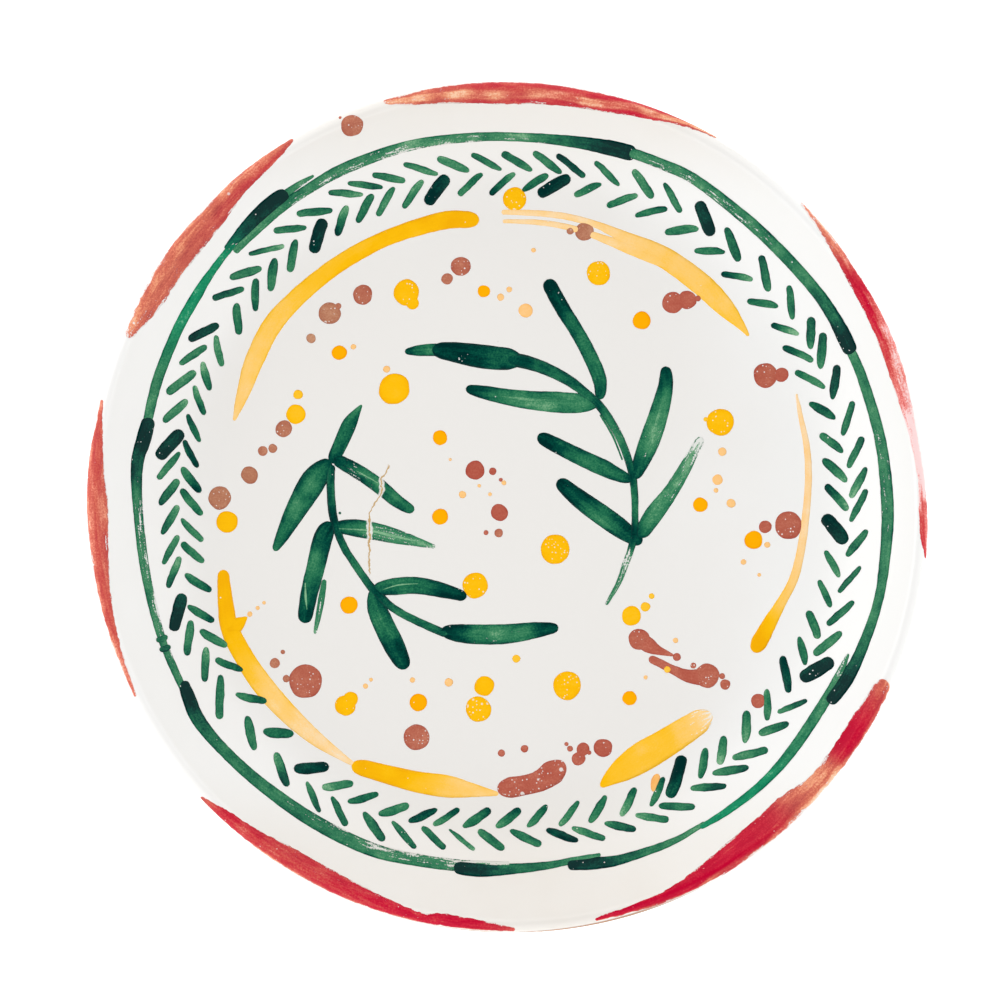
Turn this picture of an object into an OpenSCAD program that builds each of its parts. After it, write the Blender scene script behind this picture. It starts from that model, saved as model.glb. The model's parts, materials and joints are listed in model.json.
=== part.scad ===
// Hand painted ceramic plate: a thrown clay body on a foot ring, a white glaze coat,
// and brushwork in raised slip colours. Seen from above, +Y is the top of the painting
// and +X its right. The origin is on the table, under the plate's centre.

/* [Plate] */
// Diameter over the lip, glaze included
plate_d = 280; // [250:5:320]
// Height of the lip above the table
plate_h = 28; // [26:1:34]
// Thickness of the fired clay
clay_t = 5; // [4:0.5:6]
// How much the rolled lip swells past the wall, on each side
lip_swell = 0.3; // [0.2:0.1:0.6]
// Radius of the flat part of the well
well_r = 96; // [90:1:100]

/* [Foot ring] */
// Height of the bare clay under the well
foot_h = 5; // [4:0.5:6]
// Outer diameter of the foot where it stands
foot_d = 148; // [130:2:160]
// Width of the standing face
foot_w = 5; // [4:0.5:7]
// How far the foot's sides lean out towards the plate
foot_flare = 1.5; // [0:0.5:3]

/* [Glaze and paint] */
// Thickness of the glaze coat
glaze_t = 0.4; // [0.3:0.1:0.8]
// Height above the table at which the glaze is wiped off the foot
glaze_line = 2; // [1.5:0.5:3]
// Thickness of the slip colours
paint_t = 0.2; // [0.2:0.05:0.4]

/* [Leaf border] */
// Pairs of leaves round the border
leaf_pairs = 67; // [60:1:72]
// Width of an ordinary leaf
leaf_w = 2.3; // [1.8:0.1:2.6]
// Width of a leaf laid with a full brush
full_leaf_w = 3.6; // [3:0.1:4]

/* [Hidden] */
$fn = 96;

// Palette
clay_colour = [0.80, 0.66, 0.52];
glaze_colour = [0.94, 0.93, 0.91];
green = [0.12, 0.44, 0.28];
yellow = [0.98, 0.75, 0.08];
amber = [0.99, 0.66, 0.08];
peach = [0.97, 0.80, 0.62];
terracotta = [0.72, 0.38, 0.30];
red = [0.82, 0.16, 0.22];

// The middle of the wall runs flat to the edge of the well, then along one arc to the lip
lip_r = clay_t / 2 + lip_swell;
lip_centre = [plate_d / 2 - lip_r - glaze_t, plate_h - lip_r - glaze_t];
wall_run = lip_centre[0] - well_r;
wall_rise = lip_centre[1] - foot_h - clay_t / 2;
wall_angle = 2 * atan(wall_rise / wall_run);
bend_r = wall_run / sin(wall_angle);
bend_centre = [well_r, lip_centre[1] + bend_r * cos(wall_angle)];
floor_z = foot_h + clay_t;
far = plate_d;

// ---- Brush strokes, as knots of [x, y, width] or [angle, radius, width] ----

// Nine loads of the brush make the band, anticlockwise from the right
band_strokes = [
    [[24, 124.5, 4.4], [28, 124.6, 4.8], [34, 124.6, 3.8], [42, 123.6, 3.6], [50, 123.4, 3.6],
     [60, 124.4, 3.2], [70, 124.2, 3.2]],
    [[70, 123.8, 5.2], [74, 123.4, 5.2], [80, 122.7, 4], [86, 122.3, 2.8], [95, 122.7, 2.8],
     [105, 123.7, 3.4], [115, 124.2, 3.8], [122, 124.2, 3.4], [128, 124, 3]],
    [[121, 126.6, 1], [127, 127, 4.4], [132, 126.3, 5], [136, 125.4, 3.6], [140, 125, 2.4],
     [146, 124.2, 3.2], [153, 123.6, 3.4], [160, 123, 3.4], [167, 122.2, 3]],
    [[166.5, 122, 4.2], [170, 122.3, 4.6], [174, 123.2, 3.8], [180, 122, 3], [190, 121.5, 3],
     [200, 122.4, 2.8], [208, 122.8, 2.6]],
    [[208.5, 121.4, 3], [211, 122.6, 4.2], [214, 123.8, 4.4], [220, 123.4, 3.6], [228, 122.4, 4],
     [238, 122, 4.6], [248, 121.8, 4.4], [256, 120.6, 3.6], [262, 119.9, 3.4]],
    [[261.5, 120.3, 4.2], [266, 120.2, 4.6], [270, 119.8, 3.6], [276, 119.3, 2.8],
     [281, 118.8, 1.8], [285, 119, 0.6]],
    [[280, 120, 2.8], [284, 121.2, 3.8], [290, 122.8, 2.8], [296, 123.6, 2], [301, 123.9, 0.8]],
    [[300, 123.9, 1], [306, 124.2, 2.2], [313, 124.4, 2.6], [320, 123.6, 3.6], [328, 123, 3.4]],
    [[329, 124.6, 3.6], [333, 125.4, 4.6], [338, 126, 3.2], [345, 126.4, 2.6], [352, 125.8, 3.4],
     [360, 125.6, 4], [370, 125.1, 3.4], [380, 124.6, 3.2], [384.5, 124.5, 3]]
];

// Radius of the gap between the two leaf rows, by angle
border_radii = [[0, 113.5], [45, 111.5], [90, 111.5], [135, 112], [180, 109], [225, 110.8],
    [270, 106.8], [315, 111], [360, 113.5]];
// Angle at which a leaf starts, by its number in the row
outer_leaf_angles = [[0, 1.5], [7, 39.5], [9, 53], [14, 81], [20, 111.5], [26, 140.5], [27, 147.5],
    [31, 167], [40, 210.5], [43, 234], [50, 270.5], [55, 297], [61, 329.5], [67, 361.5]];
inner_leaf_angles = [[0, -0.5], [4, 20.5], [10, 55.5], [14, 79], [18, 100], [23, 122.5], [34, 177],
    [40, 207.5], [43, 230.5], [48, 257], [56, 299.5], [61, 326.5], [67, 359.5]];
// Numbers of the leaves laid with a full brush
full_outer_leaves = [9, 31, 37, 51, 61];
full_inner_leaves = [14, 18, 23, 43, 56, 66];

left_stem = [[-57.5, 15, 2.6], [-58.6, 4, 2.6], [-57.4, -4, 2.6], [-55.6, -11, 2.6], [-51, -18, 2.6],
    [-43, -29, 2.6], [-35, -34.5, 2.6], [-27, -38.7, 2.6], [-20.5, -41.2, 2.6]];
left_leaves = [
    [[-57.5, 16, 3.4], [-54.2, 24.5, 4.8], [-48.8, 33, 1]],
    [[-59.5, 14, 4], [-65.5, 7, 8.6], [-71, -3, 6.6], [-76.6, -13, 2.6]],
    [[-56, 15.5, 4.4], [-49, 11.3, 5], [-42, 6.9, 5], [-36, 2.5, 4.8], [-32, -0.3, 3.4]],
    [[-59.3, -6.5, 4.6], [-61.3, -14, 6.8], [-64.2, -25, 5.8], [-67.2, -36.8, 3.8]],
    [[-56, -6.8, 4.4], [-50, -7, 6], [-40, -9.2, 5.4], [-32, -11, 4], [-24.5, -12.7, 1]],
    [[-44, -27.4, 3], [-38, -26.7, 5.6], [-30, -26.2, 5.6], [-20, -27.9, 4.8], [-14, -29.6, 3]],
    [[-46.3, -29.5, 2.4], [-44, -35, 6.2], [-39, -46, 6.8], [-34.2, -52.6, 4.2]],
    [[-20.5, -41, 4], [-10, -42, 6.6], [2, -42, 6.2], [10, -40.9, 5.2], [14.8, -40.1, 3.6]]
];
right_stem = [[3, 48.3, 4.4], [12, 45.4, 3.6], [20, 42, 3.4], [26, 38.2, 3.2], [31, 33.2, 3.2],
    [36, 26.5, 3], [39.5, 18.5, 2.6], [41.3, 9, 2.3], [42, -1, 2.3], [41.6, -10, 2], [40, -17.5, 1.4],
    [36.8, -25.5, 1.2], [32.7, -32, 0.8]];
right_leaves = [
    [[-31.8, 51.5, 2.6], [-22, 52, 4.4], [-14, 51.2, 6], [-6, 49.6, 7.8], [4, 48.6, 5.6]],
    [[-11.5, 38.7, 3], [0, 36.3, 5.3], [10, 34.9, 6.3], [20, 34.4, 6.8], [27, 33.8, 3.8]],
    [[14, 73.8, 5.6], [19.5, 65, 4.6], [24.6, 55, 4.6], [28.5, 45.5, 5.2], [30.8, 37.6, 3]],
    [[12, 22.4, 4.6], [19, 18.9, 5.6], [28, 14.2, 5.6], [35, 11.2, 4.8], [40.5, 9.4, 2.2]],
    [[18, 7.5, 5.2], [26, 1.2, 6.6], [35, -5.2, 7.2], [43, -10.8, 4.8]],
    [[52.4, 43.6, 4.2], [51.2, 35, 6.2], [48.6, 26, 6.8], [44.8, 16.5, 5.8], [41.6, 9.6, 2.6]],
    [[63.4, 21.6, 2.8], [57.6, 11, 4.8], [51.6, 1, 6.2], [46.8, -7.5, 6]]
];

upper_left_sweep = [[98, 97, 4.6], [104, 97.3, 6], [114, 97.9, 5.8], [126, 98.2, 5.6], [136, 97.7, 6.2],
    [144, 96.8, 6], [151, 95.8, 5.4], [157, 95.2, 3.8], [162.5, 95, 0.8]];
upper_right_sweep = [[91, 96.4, 4], [80, 96.7, 5], [70, 96.9, 5.6], [60, 97.3, 6.4], [52, 97.5, 7],
    [46, 97.8, 6.2], [41, 97.9, 4], [36, 98, 1]];
right_sweep = [[330, 94.3, 4.8], [335, 94.2, 4.2], [341, 96, 3.2], [349, 97.9, 3], [357, 99, 2.9],
    [366, 99.9, 2.7], [373, 101.2, 2], [380, 102.2, 0.8]];
lower_right_sweep = [[31.5, -91.6, 1.2], [37.5, -86, 6.4], [45, -82, 9.2], [53, -78, 9.8], [60, -73.2, 8],
    [64.5, -70, 5.6]];
bottom_sweep = [[-48, -86.4, 4.6], [-40, -88.9, 6.8], [-30, -90.9, 6.9], [-20, -92.6, 6.6],
    [-12, -93.8, 4.6], [-5.5, -94.9, 1]];
left_sweep = [[-94, -23.6, 4.2], [-94, -32, 4.6], [-92.6, -41, 5], [-88, -50.5, 5.4], [-81, -61.5, 6],
    [-72, -70.8, 5.6], [-62, -78.2, 4.4], [-52.5, -84.4, 2]];
// The same sweep threw a spike of colour towards the middle
left_sweep_spike = [[-91.6, -39, 4.6], [-89.4, -38.4, 4.4], [-86.8, -37.2, 0.8]];

right_red = [[353.8, 138.4, 0.8], [357, 137.4, 2.4], [362, 136.6, 1.6], [368, 135.4, 1.6],
    [376, 135.5, 4.4], [382, 136, 5.6], [389, 136.5, 5.2], [395, 137.1, 4], [400, 138, 2.4],
    [405, 139, 0.8]];
top_red = [[61.5, 139.4, 0.8], [66, 138.9, 2.4], [70, 137.9, 4.2], [75, 136.9, 5.6], [81, 136.6, 6],
    [88, 136.2, 7], [95, 136.4, 6.8], [100, 137.1, 5.4], [104, 137.7, 3.6], [106, 138.6, 1]];
upper_left_red = [[121, 139.4, 0.8], [124, 138.6, 2.8], [128, 138, 4.2], [132, 137, 5.8], [136, 136.2, 7],
    [141, 135.8, 7.8], [147, 135.9, 7.2], [151, 136, 5.8], [154.5, 137, 3.2], [156, 137.8, 1.2]];
left_red = [[165.8, 138.3, 0.6], [168, 137.5, 1.4], [171, 137, 3.6], [175, 136.3, 5.2], [180, 135.4, 7],
    [185, 135.2, 6.2], [191, 135.8, 4.2], [197, 136.4, 2.2], [202, 137, 1.2], [206.5, 137.7, 0.6]];
lower_left_red = [[224, 139, 0.8], [226, 138.3, 2.6], [230, 137.5, 4.6], [235, 136.4, 6.8],
    [241, 136.1, 7.2], [247, 136.3, 6.6], [253, 137.1, 5], [257.5, 138, 3.2], [261, 137.6, 4.2],
    [265, 138.2, 3], [268.5, 138.9, 1.6], [272, 139.3, 0.6]];
lower_right_red = [[282, 139.2, 0.8], [286, 138.9, 1.6], [291, 138.3, 2.8], [295, 137.5, 4.6],
    [299, 136.6, 6.4], [304, 135.8, 7.8], [309, 135.3, 8.6], [313, 135.4, 8], [317, 136.1, 6.4],
    [322, 136.3, 5.8], [328, 136.1, 6.2], [333, 136.4, 5]];

// ---- Drops, as [x, y, diameter] ----
yellow_spots = [[-37.7, 39, 10.3], [-33.5, 70.7, 8.2], [-30.8, 67, 3.4], [2.4, 102, 7.6],
    [30.2, 77.5, 7.7], [15.8, -13.4, 9.3], [15.8, -14.6, 9], [-10.7, -26, 8.6], [70.4, 28, 9],
    [65.8, 29, 1.4], [19.6, -59, 9.3], [-7.8, -59.2, 6.6], [-9.6, -66.9, 8.5], [-53.8, -66, 6.8],
    [-52.4, -64.2, 6.2], [-70.2, 30.7, 6.3], [-69.4, 37.2, 3.2], [-93, -5, 6.8], [40.8, -36, 6.4],
    [45.6, -33, 3.2], [47.7, -29.5, 1.8], [3, -50.2, 2.6]];
amber_spots = [[-22.3, 23, 5], [-22.3, -3.3, 5.2], [-52.6, -32.3, 5.8], [-55.7, 51, 5],
    [-7.7, 71.4, 4.2], [44.5, 61.8, 5.9], [63.8, 1, 5.2], [81.6, -10.8, 6.2], [40.4, -63.4, 4.8],
    [-29.5, -64.8, 5.6]];
peach_spots = [[-40, 45.8, 2.4], [-51, 53, 1.7], [5.9, 65, 4.6], [-2.3, 69.4, 2.5], [0.6, 72, 1.9],
    [8.6, 84.8, 1.5], [-15, 4.2, 2.4], [-9.4, 7, 1.2], [-5.8, 4.1, 1.3], [-1.2, 7.9, 1.6],
    [71, 18.2, 2.6], [69.5, 9, 3.6], [68.8, 5.8, 1.4], [74, 1.1, 3.2], [86, -12.7, 2],
    [78, -18.2, 2], [-19.4, -58, 2.8], [-31.7, -57.2, 2], [-47, -59.3, 1.8], [-45.2, -57.2, 1.4],
    [-85.3, -35.5, 1.7], [-83, -33.3, 1.3], [-80.7, -31.6, 1.1], [45.7, -56.5, 1.3],
    [55.5, -44.2, 2]];
terracotta_spots = [[-59, 64, 7], [-56.4, 66.4, 2.4], [-47.8, 70.2, 6.4], [-65, 55.8, 3],
    [-15.4, 79.6, 6.6], [-19.8, 75.5, 3.8], [-74, 26, 5.6], [-81, 18.6, 3.6], [-77.8, 19.4, 2.9],
    [-85.3, 10.5, 5.8], [-95.3, 3, 7.6], [-10.8, 12.3, 6.2], [-4.8, 11.7, 2.5], [-2.2, 9, 1.3],
    [-2.7, -1.8, 5.6], [-3, -8.6, 2.9], [-7.1, -8.5, 1.6], [25.3, 91.2, 6.2], [20.8, 91.2, 2.6],
    [54.5, 67.3, 7.2], [59.3, 68.3, 6.2], [62.3, 69, 2.6], [85.2, 43.6, 8.2], [90.6, 43.6, 4.6],
    [93, -5.8, 9.2], [85.3, -6.5, 4], [104.8, -4.8, 2], [83.3, -64, 4.6], [-29.7, -76.3, 7.8],
    [-66.8, -57.8, 10.6], [-77, -51.8, 3.4], [-74.4, -48, 1.5], [-73.2, -57, 2.4], [-2, -81.7, 2.3],
    [5.5, -80, 2.5], [19.5, -78.5, 1.5], [20.6, -79.9, 2], [25, -80, 4], [23.2, -83.2, 4.8],
    [31.5, -79.8, 6.4], [-51, 126, 7.4]];
right_splash_spots = [[43.3, -44.2, 6.8], [56, -49.8, 2.5], [65.8, -55.8, 8], [70.6, -55.9, 2],
    [72, -58.5, 3.2], [61.6, -52.9, 1.8]];
right_splash_tails = [
    [[44.5, -45, 5.4], [48, -46.6, 3], [54, -49, 0.8]],
    [[47.4, -50.2, 2.8], [53, -53.6, 2.8], [59, -55.6, 4.2], [65, -56.6, 6]]
];
bottom_splash = [[-0.5, -93.3, 5.6], [6, -92.3, 6.2], [12, -90.6, 7], [16, -87.6, 8.2]];

// ---- Functions ----
function on_ring(knot) = [knot[1] * cos(knot[0]), knot[1] * sin(knot[0]), knot[2]];
function ring_knots(knots) = [for (k = knots) on_ring(k)];
// A smooth curve through four knots, between the middle two
function curve(a, b, c, d, t) =
    (2 * b + (c - a) * t + (2 * a - 5 * b + 4 * c - d) * t * t + (3 * b - 3 * c + d - a) * t * t * t) / 2;
function smooth_route(k, steps) = [
    for (i = [0 : len(k) - 2], s = [0 : steps - 1])
        curve(k[max(i - 1, 0)], k[i], k[i + 1], k[min(i + 2, len(k) - 1)], s / steps),
    k[len(k) - 1]
];
function flat(v) = [v[0], v[1]];
function heading(p, i) =
    let (d = flat(p[min(i + 1, len(p) - 1)]) - flat(p[max(i - 1, 0)])) atan2(d[1], d[0]);
function beside(p, i, turn) = flat(p[i]) + p[i][2] / 2 * [cos(heading(p, i) + turn), sin(heading(p, i) + turn)];
// The outline of a brush stroke: up one side, round the end, back down the other side
function stroke_outline(p) = concat(
    [for (i = [0 : len(p) - 1]) beside(p, i, -90)],
    [for (turn = [-45, 0, 45]) beside(p, len(p) - 1, turn)],
    [for (i = [len(p) - 1 : -1 : 0]) beside(p, i, 90)],
    [for (turn = [135, 180, 225]) beside(p, 0, turn)]
);
// An uneven but fixed amount between -1 and 1, so that no two leaves match
function unevenness(i) = sin(i * 137.5) * cos(i * 61.3);
function is_full(i, full) = len(search(i, full)) > 0;
function leaf_knots(i, angles, full, from, to, span) =
    let (
        a = lookup(i, angles) + 0.5 * unevenness(i),
        r = lookup(a < 0 ? a + 360 : (a > 360 ? a - 360 : a), border_radii) + 0.4 * unevenness(i + 7),
        w = is_full(i, full) ? full_leaf_w : leaf_w + 0.4 * unevenness(i + 3),
        reach = 1 + 0.1 * unevenness(i + 5)
    )
    ring_knots([[a, r + from, w * 0.8], [a + span * reach / 2, r + (from + to) / 2, w], [a + span * reach, r + to, w * 0.7]]);

// ---- Sections, with x as the radius and y as the height ----
module wedge(from, to) {
    middle = (from + to) / 2;
    polygon([[0, 0], far * [cos(from), sin(from)], far * [cos(middle), sin(middle)], far * [cos(to), sin(to)]]);
}

module ring_section(inner, outer, from, to) {
    intersection() {
        difference() {
            circle(r = outer);
            circle(r = inner);
        }
        wedge(from, to);
    }
}

module foot_section(coat) {
    outside = foot_d / 2 - glaze_t + coat;
    inside = foot_d / 2 - foot_w + glaze_t - coat;
    top = foot_h + clay_t / 2;
    polygon([
        [inside, 0], [outside - 0.6, 0], [outside, 0.6],
        [outside + foot_flare, top], [inside - foot_flare, top], [inside - 0.6, 0.6]
    ]);
}

// The clay, thickened all over by coat
module plate_section(coat) {
    translate([0, foot_h - coat])
        square([well_r, clay_t + 2 * coat]);
    translate(bend_centre)
        ring_section(bend_r - clay_t / 2 - coat, bend_r + clay_t / 2 + coat, -90, wall_angle - 90);
    translate(lip_centre)
        circle(r = lip_r + coat);
    foot_section(coat);
}

// A thin coat on the eating side of the glaze, and over the crest of the lip
module paint_section() {
    intersection() {
        difference() {
            plate_section(glaze_t + paint_t);
            plate_section(glaze_t);
        }
        union() {
            translate([0, floor_z])
                square([well_r, far]);
            translate(bend_centre)
                circle(r = bend_r);
            translate(lip_centre + [0, 0.2])
                square([far, far]);
        }
    }
}

// ---- Painting ----
module stroke(knots, steps = 3) {
    polygon(stroke_outline(smooth_route(knots, steps)));
}

module strokes(list, steps = 3) {
    for (k = list) stroke(k, steps);
}

module spots(list) {
    for (s = list)
        translate([s[0], s[1]])
            circle(d = s[2]);
}

// Lays flat outlines on the curved surface as a thin coat
module painted() {
    intersection() {
        rotate_extrude() paint_section();
        translate([0, 0, floor_z])
            linear_extrude(height = plate_h) children();
    }
}

module outer_leaves() {
    for (i = [0 : leaf_pairs - 1])
        stroke(leaf_knots(i, outer_leaf_angles, full_outer_leaves, 1.4, 6.6, 4.6), 2);
}

module inner_leaves() {
    for (i = [0 : leaf_pairs - 1])
        stroke(leaf_knots(i, inner_leaf_angles, full_inner_leaves, -1, -6.8, 4.2), 2);
}

// ---- Nodes ----
module clay_body() {
    color(clay_colour) rotate_extrude() plate_section(0);
}

module white_glaze() {
    color(glaze_colour) rotate_extrude() intersection() {
        difference() {
            plate_section(glaze_t);
            plate_section(0);
        }
        translate([0, glaze_line]) square([far, far]);
    }
}

module green_band() {
    color(green) painted() for (k = band_strokes) stroke(ring_knots(k));
}

module outer_leaf_row() {
    color(green) painted() outer_leaves();
}

module inner_leaf_row() {
    color(green) painted() inner_leaves();
}

module left_sprig_stem() {
    color(green) painted() stroke(left_stem);
}

module left_sprig_leaves() {
    color(green) painted() difference() {
        strokes(left_leaves);
        stroke(left_stem);
    }
}

module right_sprig_stem() {
    color(green) painted() stroke(right_stem);
}

module right_sprig_leaves() {
    color(green) painted() difference() {
        strokes(right_leaves);
        stroke(right_stem);
    }
}

// Green went on over the yellow, so the yellow stops where a leaf lies
module yellow_sweep(knots) {
    color(yellow) painted() difference() {
        union() {
            stroke(knots);
            children();
        }
        inner_leaves();
    }
}

module red_stroke(knots) {
    color(red) painted() stroke(ring_knots(knots));
}

module yellow_drops() {
    color(yellow) painted() difference() {
        spots(yellow_spots);
        strokes(left_leaves);
        inner_leaves();
        spots(terracotta_spots);
    }
}

module amber_drops() {
    color(amber) painted() spots(amber_spots);
}

module peach_drops() {
    color(peach) painted() spots(peach_spots);
}

module terracotta_drops() {
    color(terracotta) painted() difference() {
        spots(terracotta_spots);
        inner_leaves();
        stroke(ring_knots(upper_right_sweep));
        stroke(ring_knots(right_sweep));
    }
}

module terracotta_splash_right() {
    color(terracotta) painted() {
        spots(right_splash_spots);
        strokes(right_splash_tails);
    }
}

module terracotta_splash_bottom() {
    color(terracotta) painted() stroke(bottom_splash);
}

clay_body();
white_glaze();
green_band();
outer_leaf_row();
inner_leaf_row();
left_sprig_stem();
left_sprig_leaves();
right_sprig_stem();
right_sprig_leaves();
yellow_sweep(ring_knots(upper_left_sweep));  // yellow_sweep_upper_left
yellow_sweep(ring_knots(upper_right_sweep));  // yellow_sweep_upper_right
yellow_sweep(ring_knots(right_sweep));  // yellow_sweep_right
yellow_sweep(lower_right_sweep);  // yellow_sweep_lower_right
yellow_sweep(bottom_sweep);  // yellow_sweep_bottom
yellow_sweep(left_sweep) stroke(left_sweep_spike);  // yellow_sweep_left
red_stroke(right_red);  // red_stroke_right
red_stroke(top_red);  // red_stroke_top
red_stroke(upper_left_red);  // red_stroke_upper_left
red_stroke(left_red);  // red_stroke_left
red_stroke(lower_left_red);  // red_stroke_lower_left
red_stroke(lower_right_red);  // red_stroke_lower_right
yellow_drops();
amber_drops();
peach_drops();
terracotta_drops();
terracotta_splash_right();
terracotta_splash_bottom();
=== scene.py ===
# %% [markdown]
# # A hand painted plate
# A potter threw this plate on the wheel, trimmed a foot ring under it, dipped it in a
# white glaze and painted it freehand with a loaded brush: a green band and a border of
# paired leaves, red strokes on the lip, broad yellow sweeps, two leafy sprigs in the
# middle and a scatter of thrown drops. The lesson makes it in the same order. Each
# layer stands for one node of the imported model, in the same place.

import json
import math
import random

import bmesh
import bpy
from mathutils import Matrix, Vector, noise

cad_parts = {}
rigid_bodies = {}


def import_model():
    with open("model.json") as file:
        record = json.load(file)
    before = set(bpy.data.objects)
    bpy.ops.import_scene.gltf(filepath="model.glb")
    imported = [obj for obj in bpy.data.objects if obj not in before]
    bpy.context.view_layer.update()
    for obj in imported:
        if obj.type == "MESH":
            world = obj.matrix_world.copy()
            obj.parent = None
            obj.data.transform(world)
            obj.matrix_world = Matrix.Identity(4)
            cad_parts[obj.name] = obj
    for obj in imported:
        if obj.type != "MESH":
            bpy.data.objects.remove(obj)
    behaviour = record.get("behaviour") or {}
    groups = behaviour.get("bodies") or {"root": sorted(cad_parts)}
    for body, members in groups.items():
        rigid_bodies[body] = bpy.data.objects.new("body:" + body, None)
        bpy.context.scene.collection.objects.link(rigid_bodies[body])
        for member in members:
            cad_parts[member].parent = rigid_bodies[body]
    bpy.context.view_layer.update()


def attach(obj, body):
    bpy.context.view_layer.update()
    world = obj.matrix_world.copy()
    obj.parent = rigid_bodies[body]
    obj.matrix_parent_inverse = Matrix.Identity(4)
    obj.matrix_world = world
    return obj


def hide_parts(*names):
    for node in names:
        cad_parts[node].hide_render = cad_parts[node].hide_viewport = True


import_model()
MM = 0.001

# %% [markdown]
# ## Camera
# The plate is seen from straight above, so the camera looks down and +Y is up in the
# view. A long lens from far away keeps the well and the lip at one scale. `VIEW_WIDTH`
# is what it takes in at `MID_HEIGHT`, between the well and the lip.

# %% Camera straight above
CAMERA_HEIGHT = 4.0
VIEW_WIDTH = 0.3302
MID_HEIGHT = 0.02
lens = bpy.data.cameras.new("camera")
lens.sensor_width = 36.0
lens.lens = lens.sensor_width * (CAMERA_HEIGHT - MID_HEIGHT) / VIEW_WIDTH
lens.clip_end = 50.0
camera = bpy.data.objects.new("camera", lens)
camera.location = (-0.0025, 0.0023, CAMERA_HEIGHT)
shelf = bpy.context.scene.collection.objects
shelf.link(camera)
bpy.context.scene.camera = camera
bpy.context.scene.view_settings.view_transform = "Standard"
print("lens", round(lens.lens), "mm")

# %% [markdown]
# ## Shader maths as sums
# A finish is easier to read as a sum than as a heap of nodes. `Wire` wraps a socket, so
# that `1 - mask * 0.5` adds the Math nodes itself. `Bench` holds one material, and its
# `node` method makes every other node: settings first, then the sockets. Most finishes
# need soft noise, so `cloud` is short for that node.


# %% Wires
def joined(how, flipped=False):
    def method(self, other):
        pair = (other, self) if flipped else (self, other)
        return self.bench.node("ShaderNodeMath", {"operation": how}, dict(enumerate(pair)))["Value"]

    return method


class Wire:
    def __init__(self, bench, socket):
        self.bench = bench
        self.socket = socket

    __add__, __radd__ = joined("ADD"), joined("ADD", True)
    __sub__, __rsub__ = joined("SUBTRACT"), joined("SUBTRACT", True)
    __mul__, __rmul__ = joined("MULTIPLY"), joined("MULTIPLY", True)
    __truediv__, __pow__ = joined("DIVIDE"), joined("POWER")

    def __abs__(self):
        return self.bench.node("ShaderNodeMath", {"operation": "ABSOLUTE"}, {0: self})["Value"]

    def step(self, low, high):
        """0 below low, 1 above high and a smooth step between; low may be the larger."""
        sockets = {"Value": self, "From Min": low, "From Max": high}
        return self.bench.node("ShaderNodeMapRange", {"interpolation_type": "SMOOTHSTEP"}, sockets)["Result"]


# %% A bench for one material
class Bench:
    def __init__(self, material, shader="Principled BSDF"):
        self.material = material
        self.material.use_nodes = True
        self.nodes = self.material.node_tree.nodes
        self.links = self.material.node_tree.links
        self.shader = self.nodes[shader]

    def plug(self, socket, value):
        if isinstance(value, Wire):
            self.links.new(value.socket, socket)
        else:
            socket.default_value = value

    def node(self, kind, settings=None, sockets=None):
        made = self.nodes.new(kind)
        for name, value in (settings or {}).items():
            if name == "stops":
                while len(made.color_ramp.elements) < len(value):
                    made.color_ramp.elements.new(0.5)
                for stop, (place, colour) in zip(made.color_ramp.elements, value):
                    stop.position = place
                    stop.color = colour
            else:
                setattr(made, name, value)
        for name, value in (sockets or {}).items():
            self.plug(made.inputs[name], value)
        return {out.name: Wire(self, out) for out in made.outputs if out.enabled}

    def mix(self, amount, low, high):
        return self.node("ShaderNodeMix", {"data_type": "RGBA"}, {0: amount, 6: low, 7: high})["Result"]

    def cloud(self, place, scale, detail, roughness=0.5):
        sockets = {"Vector": place, "Scale": scale, "Detail": detail, "Roughness": roughness}
        return self.node("ShaderNodeTexNoise", {}, sockets)["Fac"]

    def finish(self, **sockets):
        for name, value in sockets.items():
            self.plug(self.shader.inputs[name.replace("_", " ")], value)
        return self.material


def new_finish(name):
    return Bench(bpy.data.materials.new(name))


def tone(red, green, blue):
    """A colour from a paint card, 0 to 255 as screens show it, in linear light."""
    return (*(((c / 255 + 0.055) / 1.055) ** 2.4 if c > 10 else c / 3295 for c in (red, green, blue)), 1.0)


# %% [markdown]
# ## Light and floor
# Glazed ware mirrors whatever is above it, and a white ceiling would lay a grey veil over
# the dark greens. So the sky is a white tent with a dark opening round the camera, and
# one broad panel stands low at the left. Under the horizon the tent is a little greyer,
# which gives the back of the plate some shape. The floor is plain pale paper.

# %% A tent with a dark opening
sky = bpy.data.worlds.new("tent")
bpy.context.scene.world = sky
tent = Bench(sky, "Background")
up = tent.node("ShaderNodeSeparateXYZ", {}, {"Vector": tent.node("ShaderNodeTexCoord")["Generated"]})["Z"]
white_cloth, dim_cloth, opening = (1.0, 0.997, 0.99, 1.0), tone(206, 206, 206), tone(36, 36, 36)
cloth = tent.mix(up.step(-0.3, 0.1), dim_cloth, white_cloth)
tent.finish(Color=tent.mix(up.step(0.97, 0.8), opening, cloth), Strength=1.25)
panel = bpy.data.lights.new("panel", "AREA")
panel.shape = "DISK"
panel.size = 1.8
panel.energy = 7.0
lamp = bpy.data.objects.new("panel", panel)
lamp.location = (-2.0, 0.1, 1.4)
lamp.rotation_euler = (-lamp.location).to_track_quat("-Z", "Y").to_euler()
shelf.link(lamp)
print("panel", panel.energy, "W")


# %% The floor
def put_in_scene(name, bm, material):
    mesh = bpy.data.meshes.new(name)
    bm.to_mesh(mesh)
    bm.free()
    for polygon in mesh.polygons:
        polygon.use_smooth = True
    mesh.materials.append(material)
    piece = bpy.data.objects.new(name, mesh)
    shelf.link(piece)
    return piece


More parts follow.
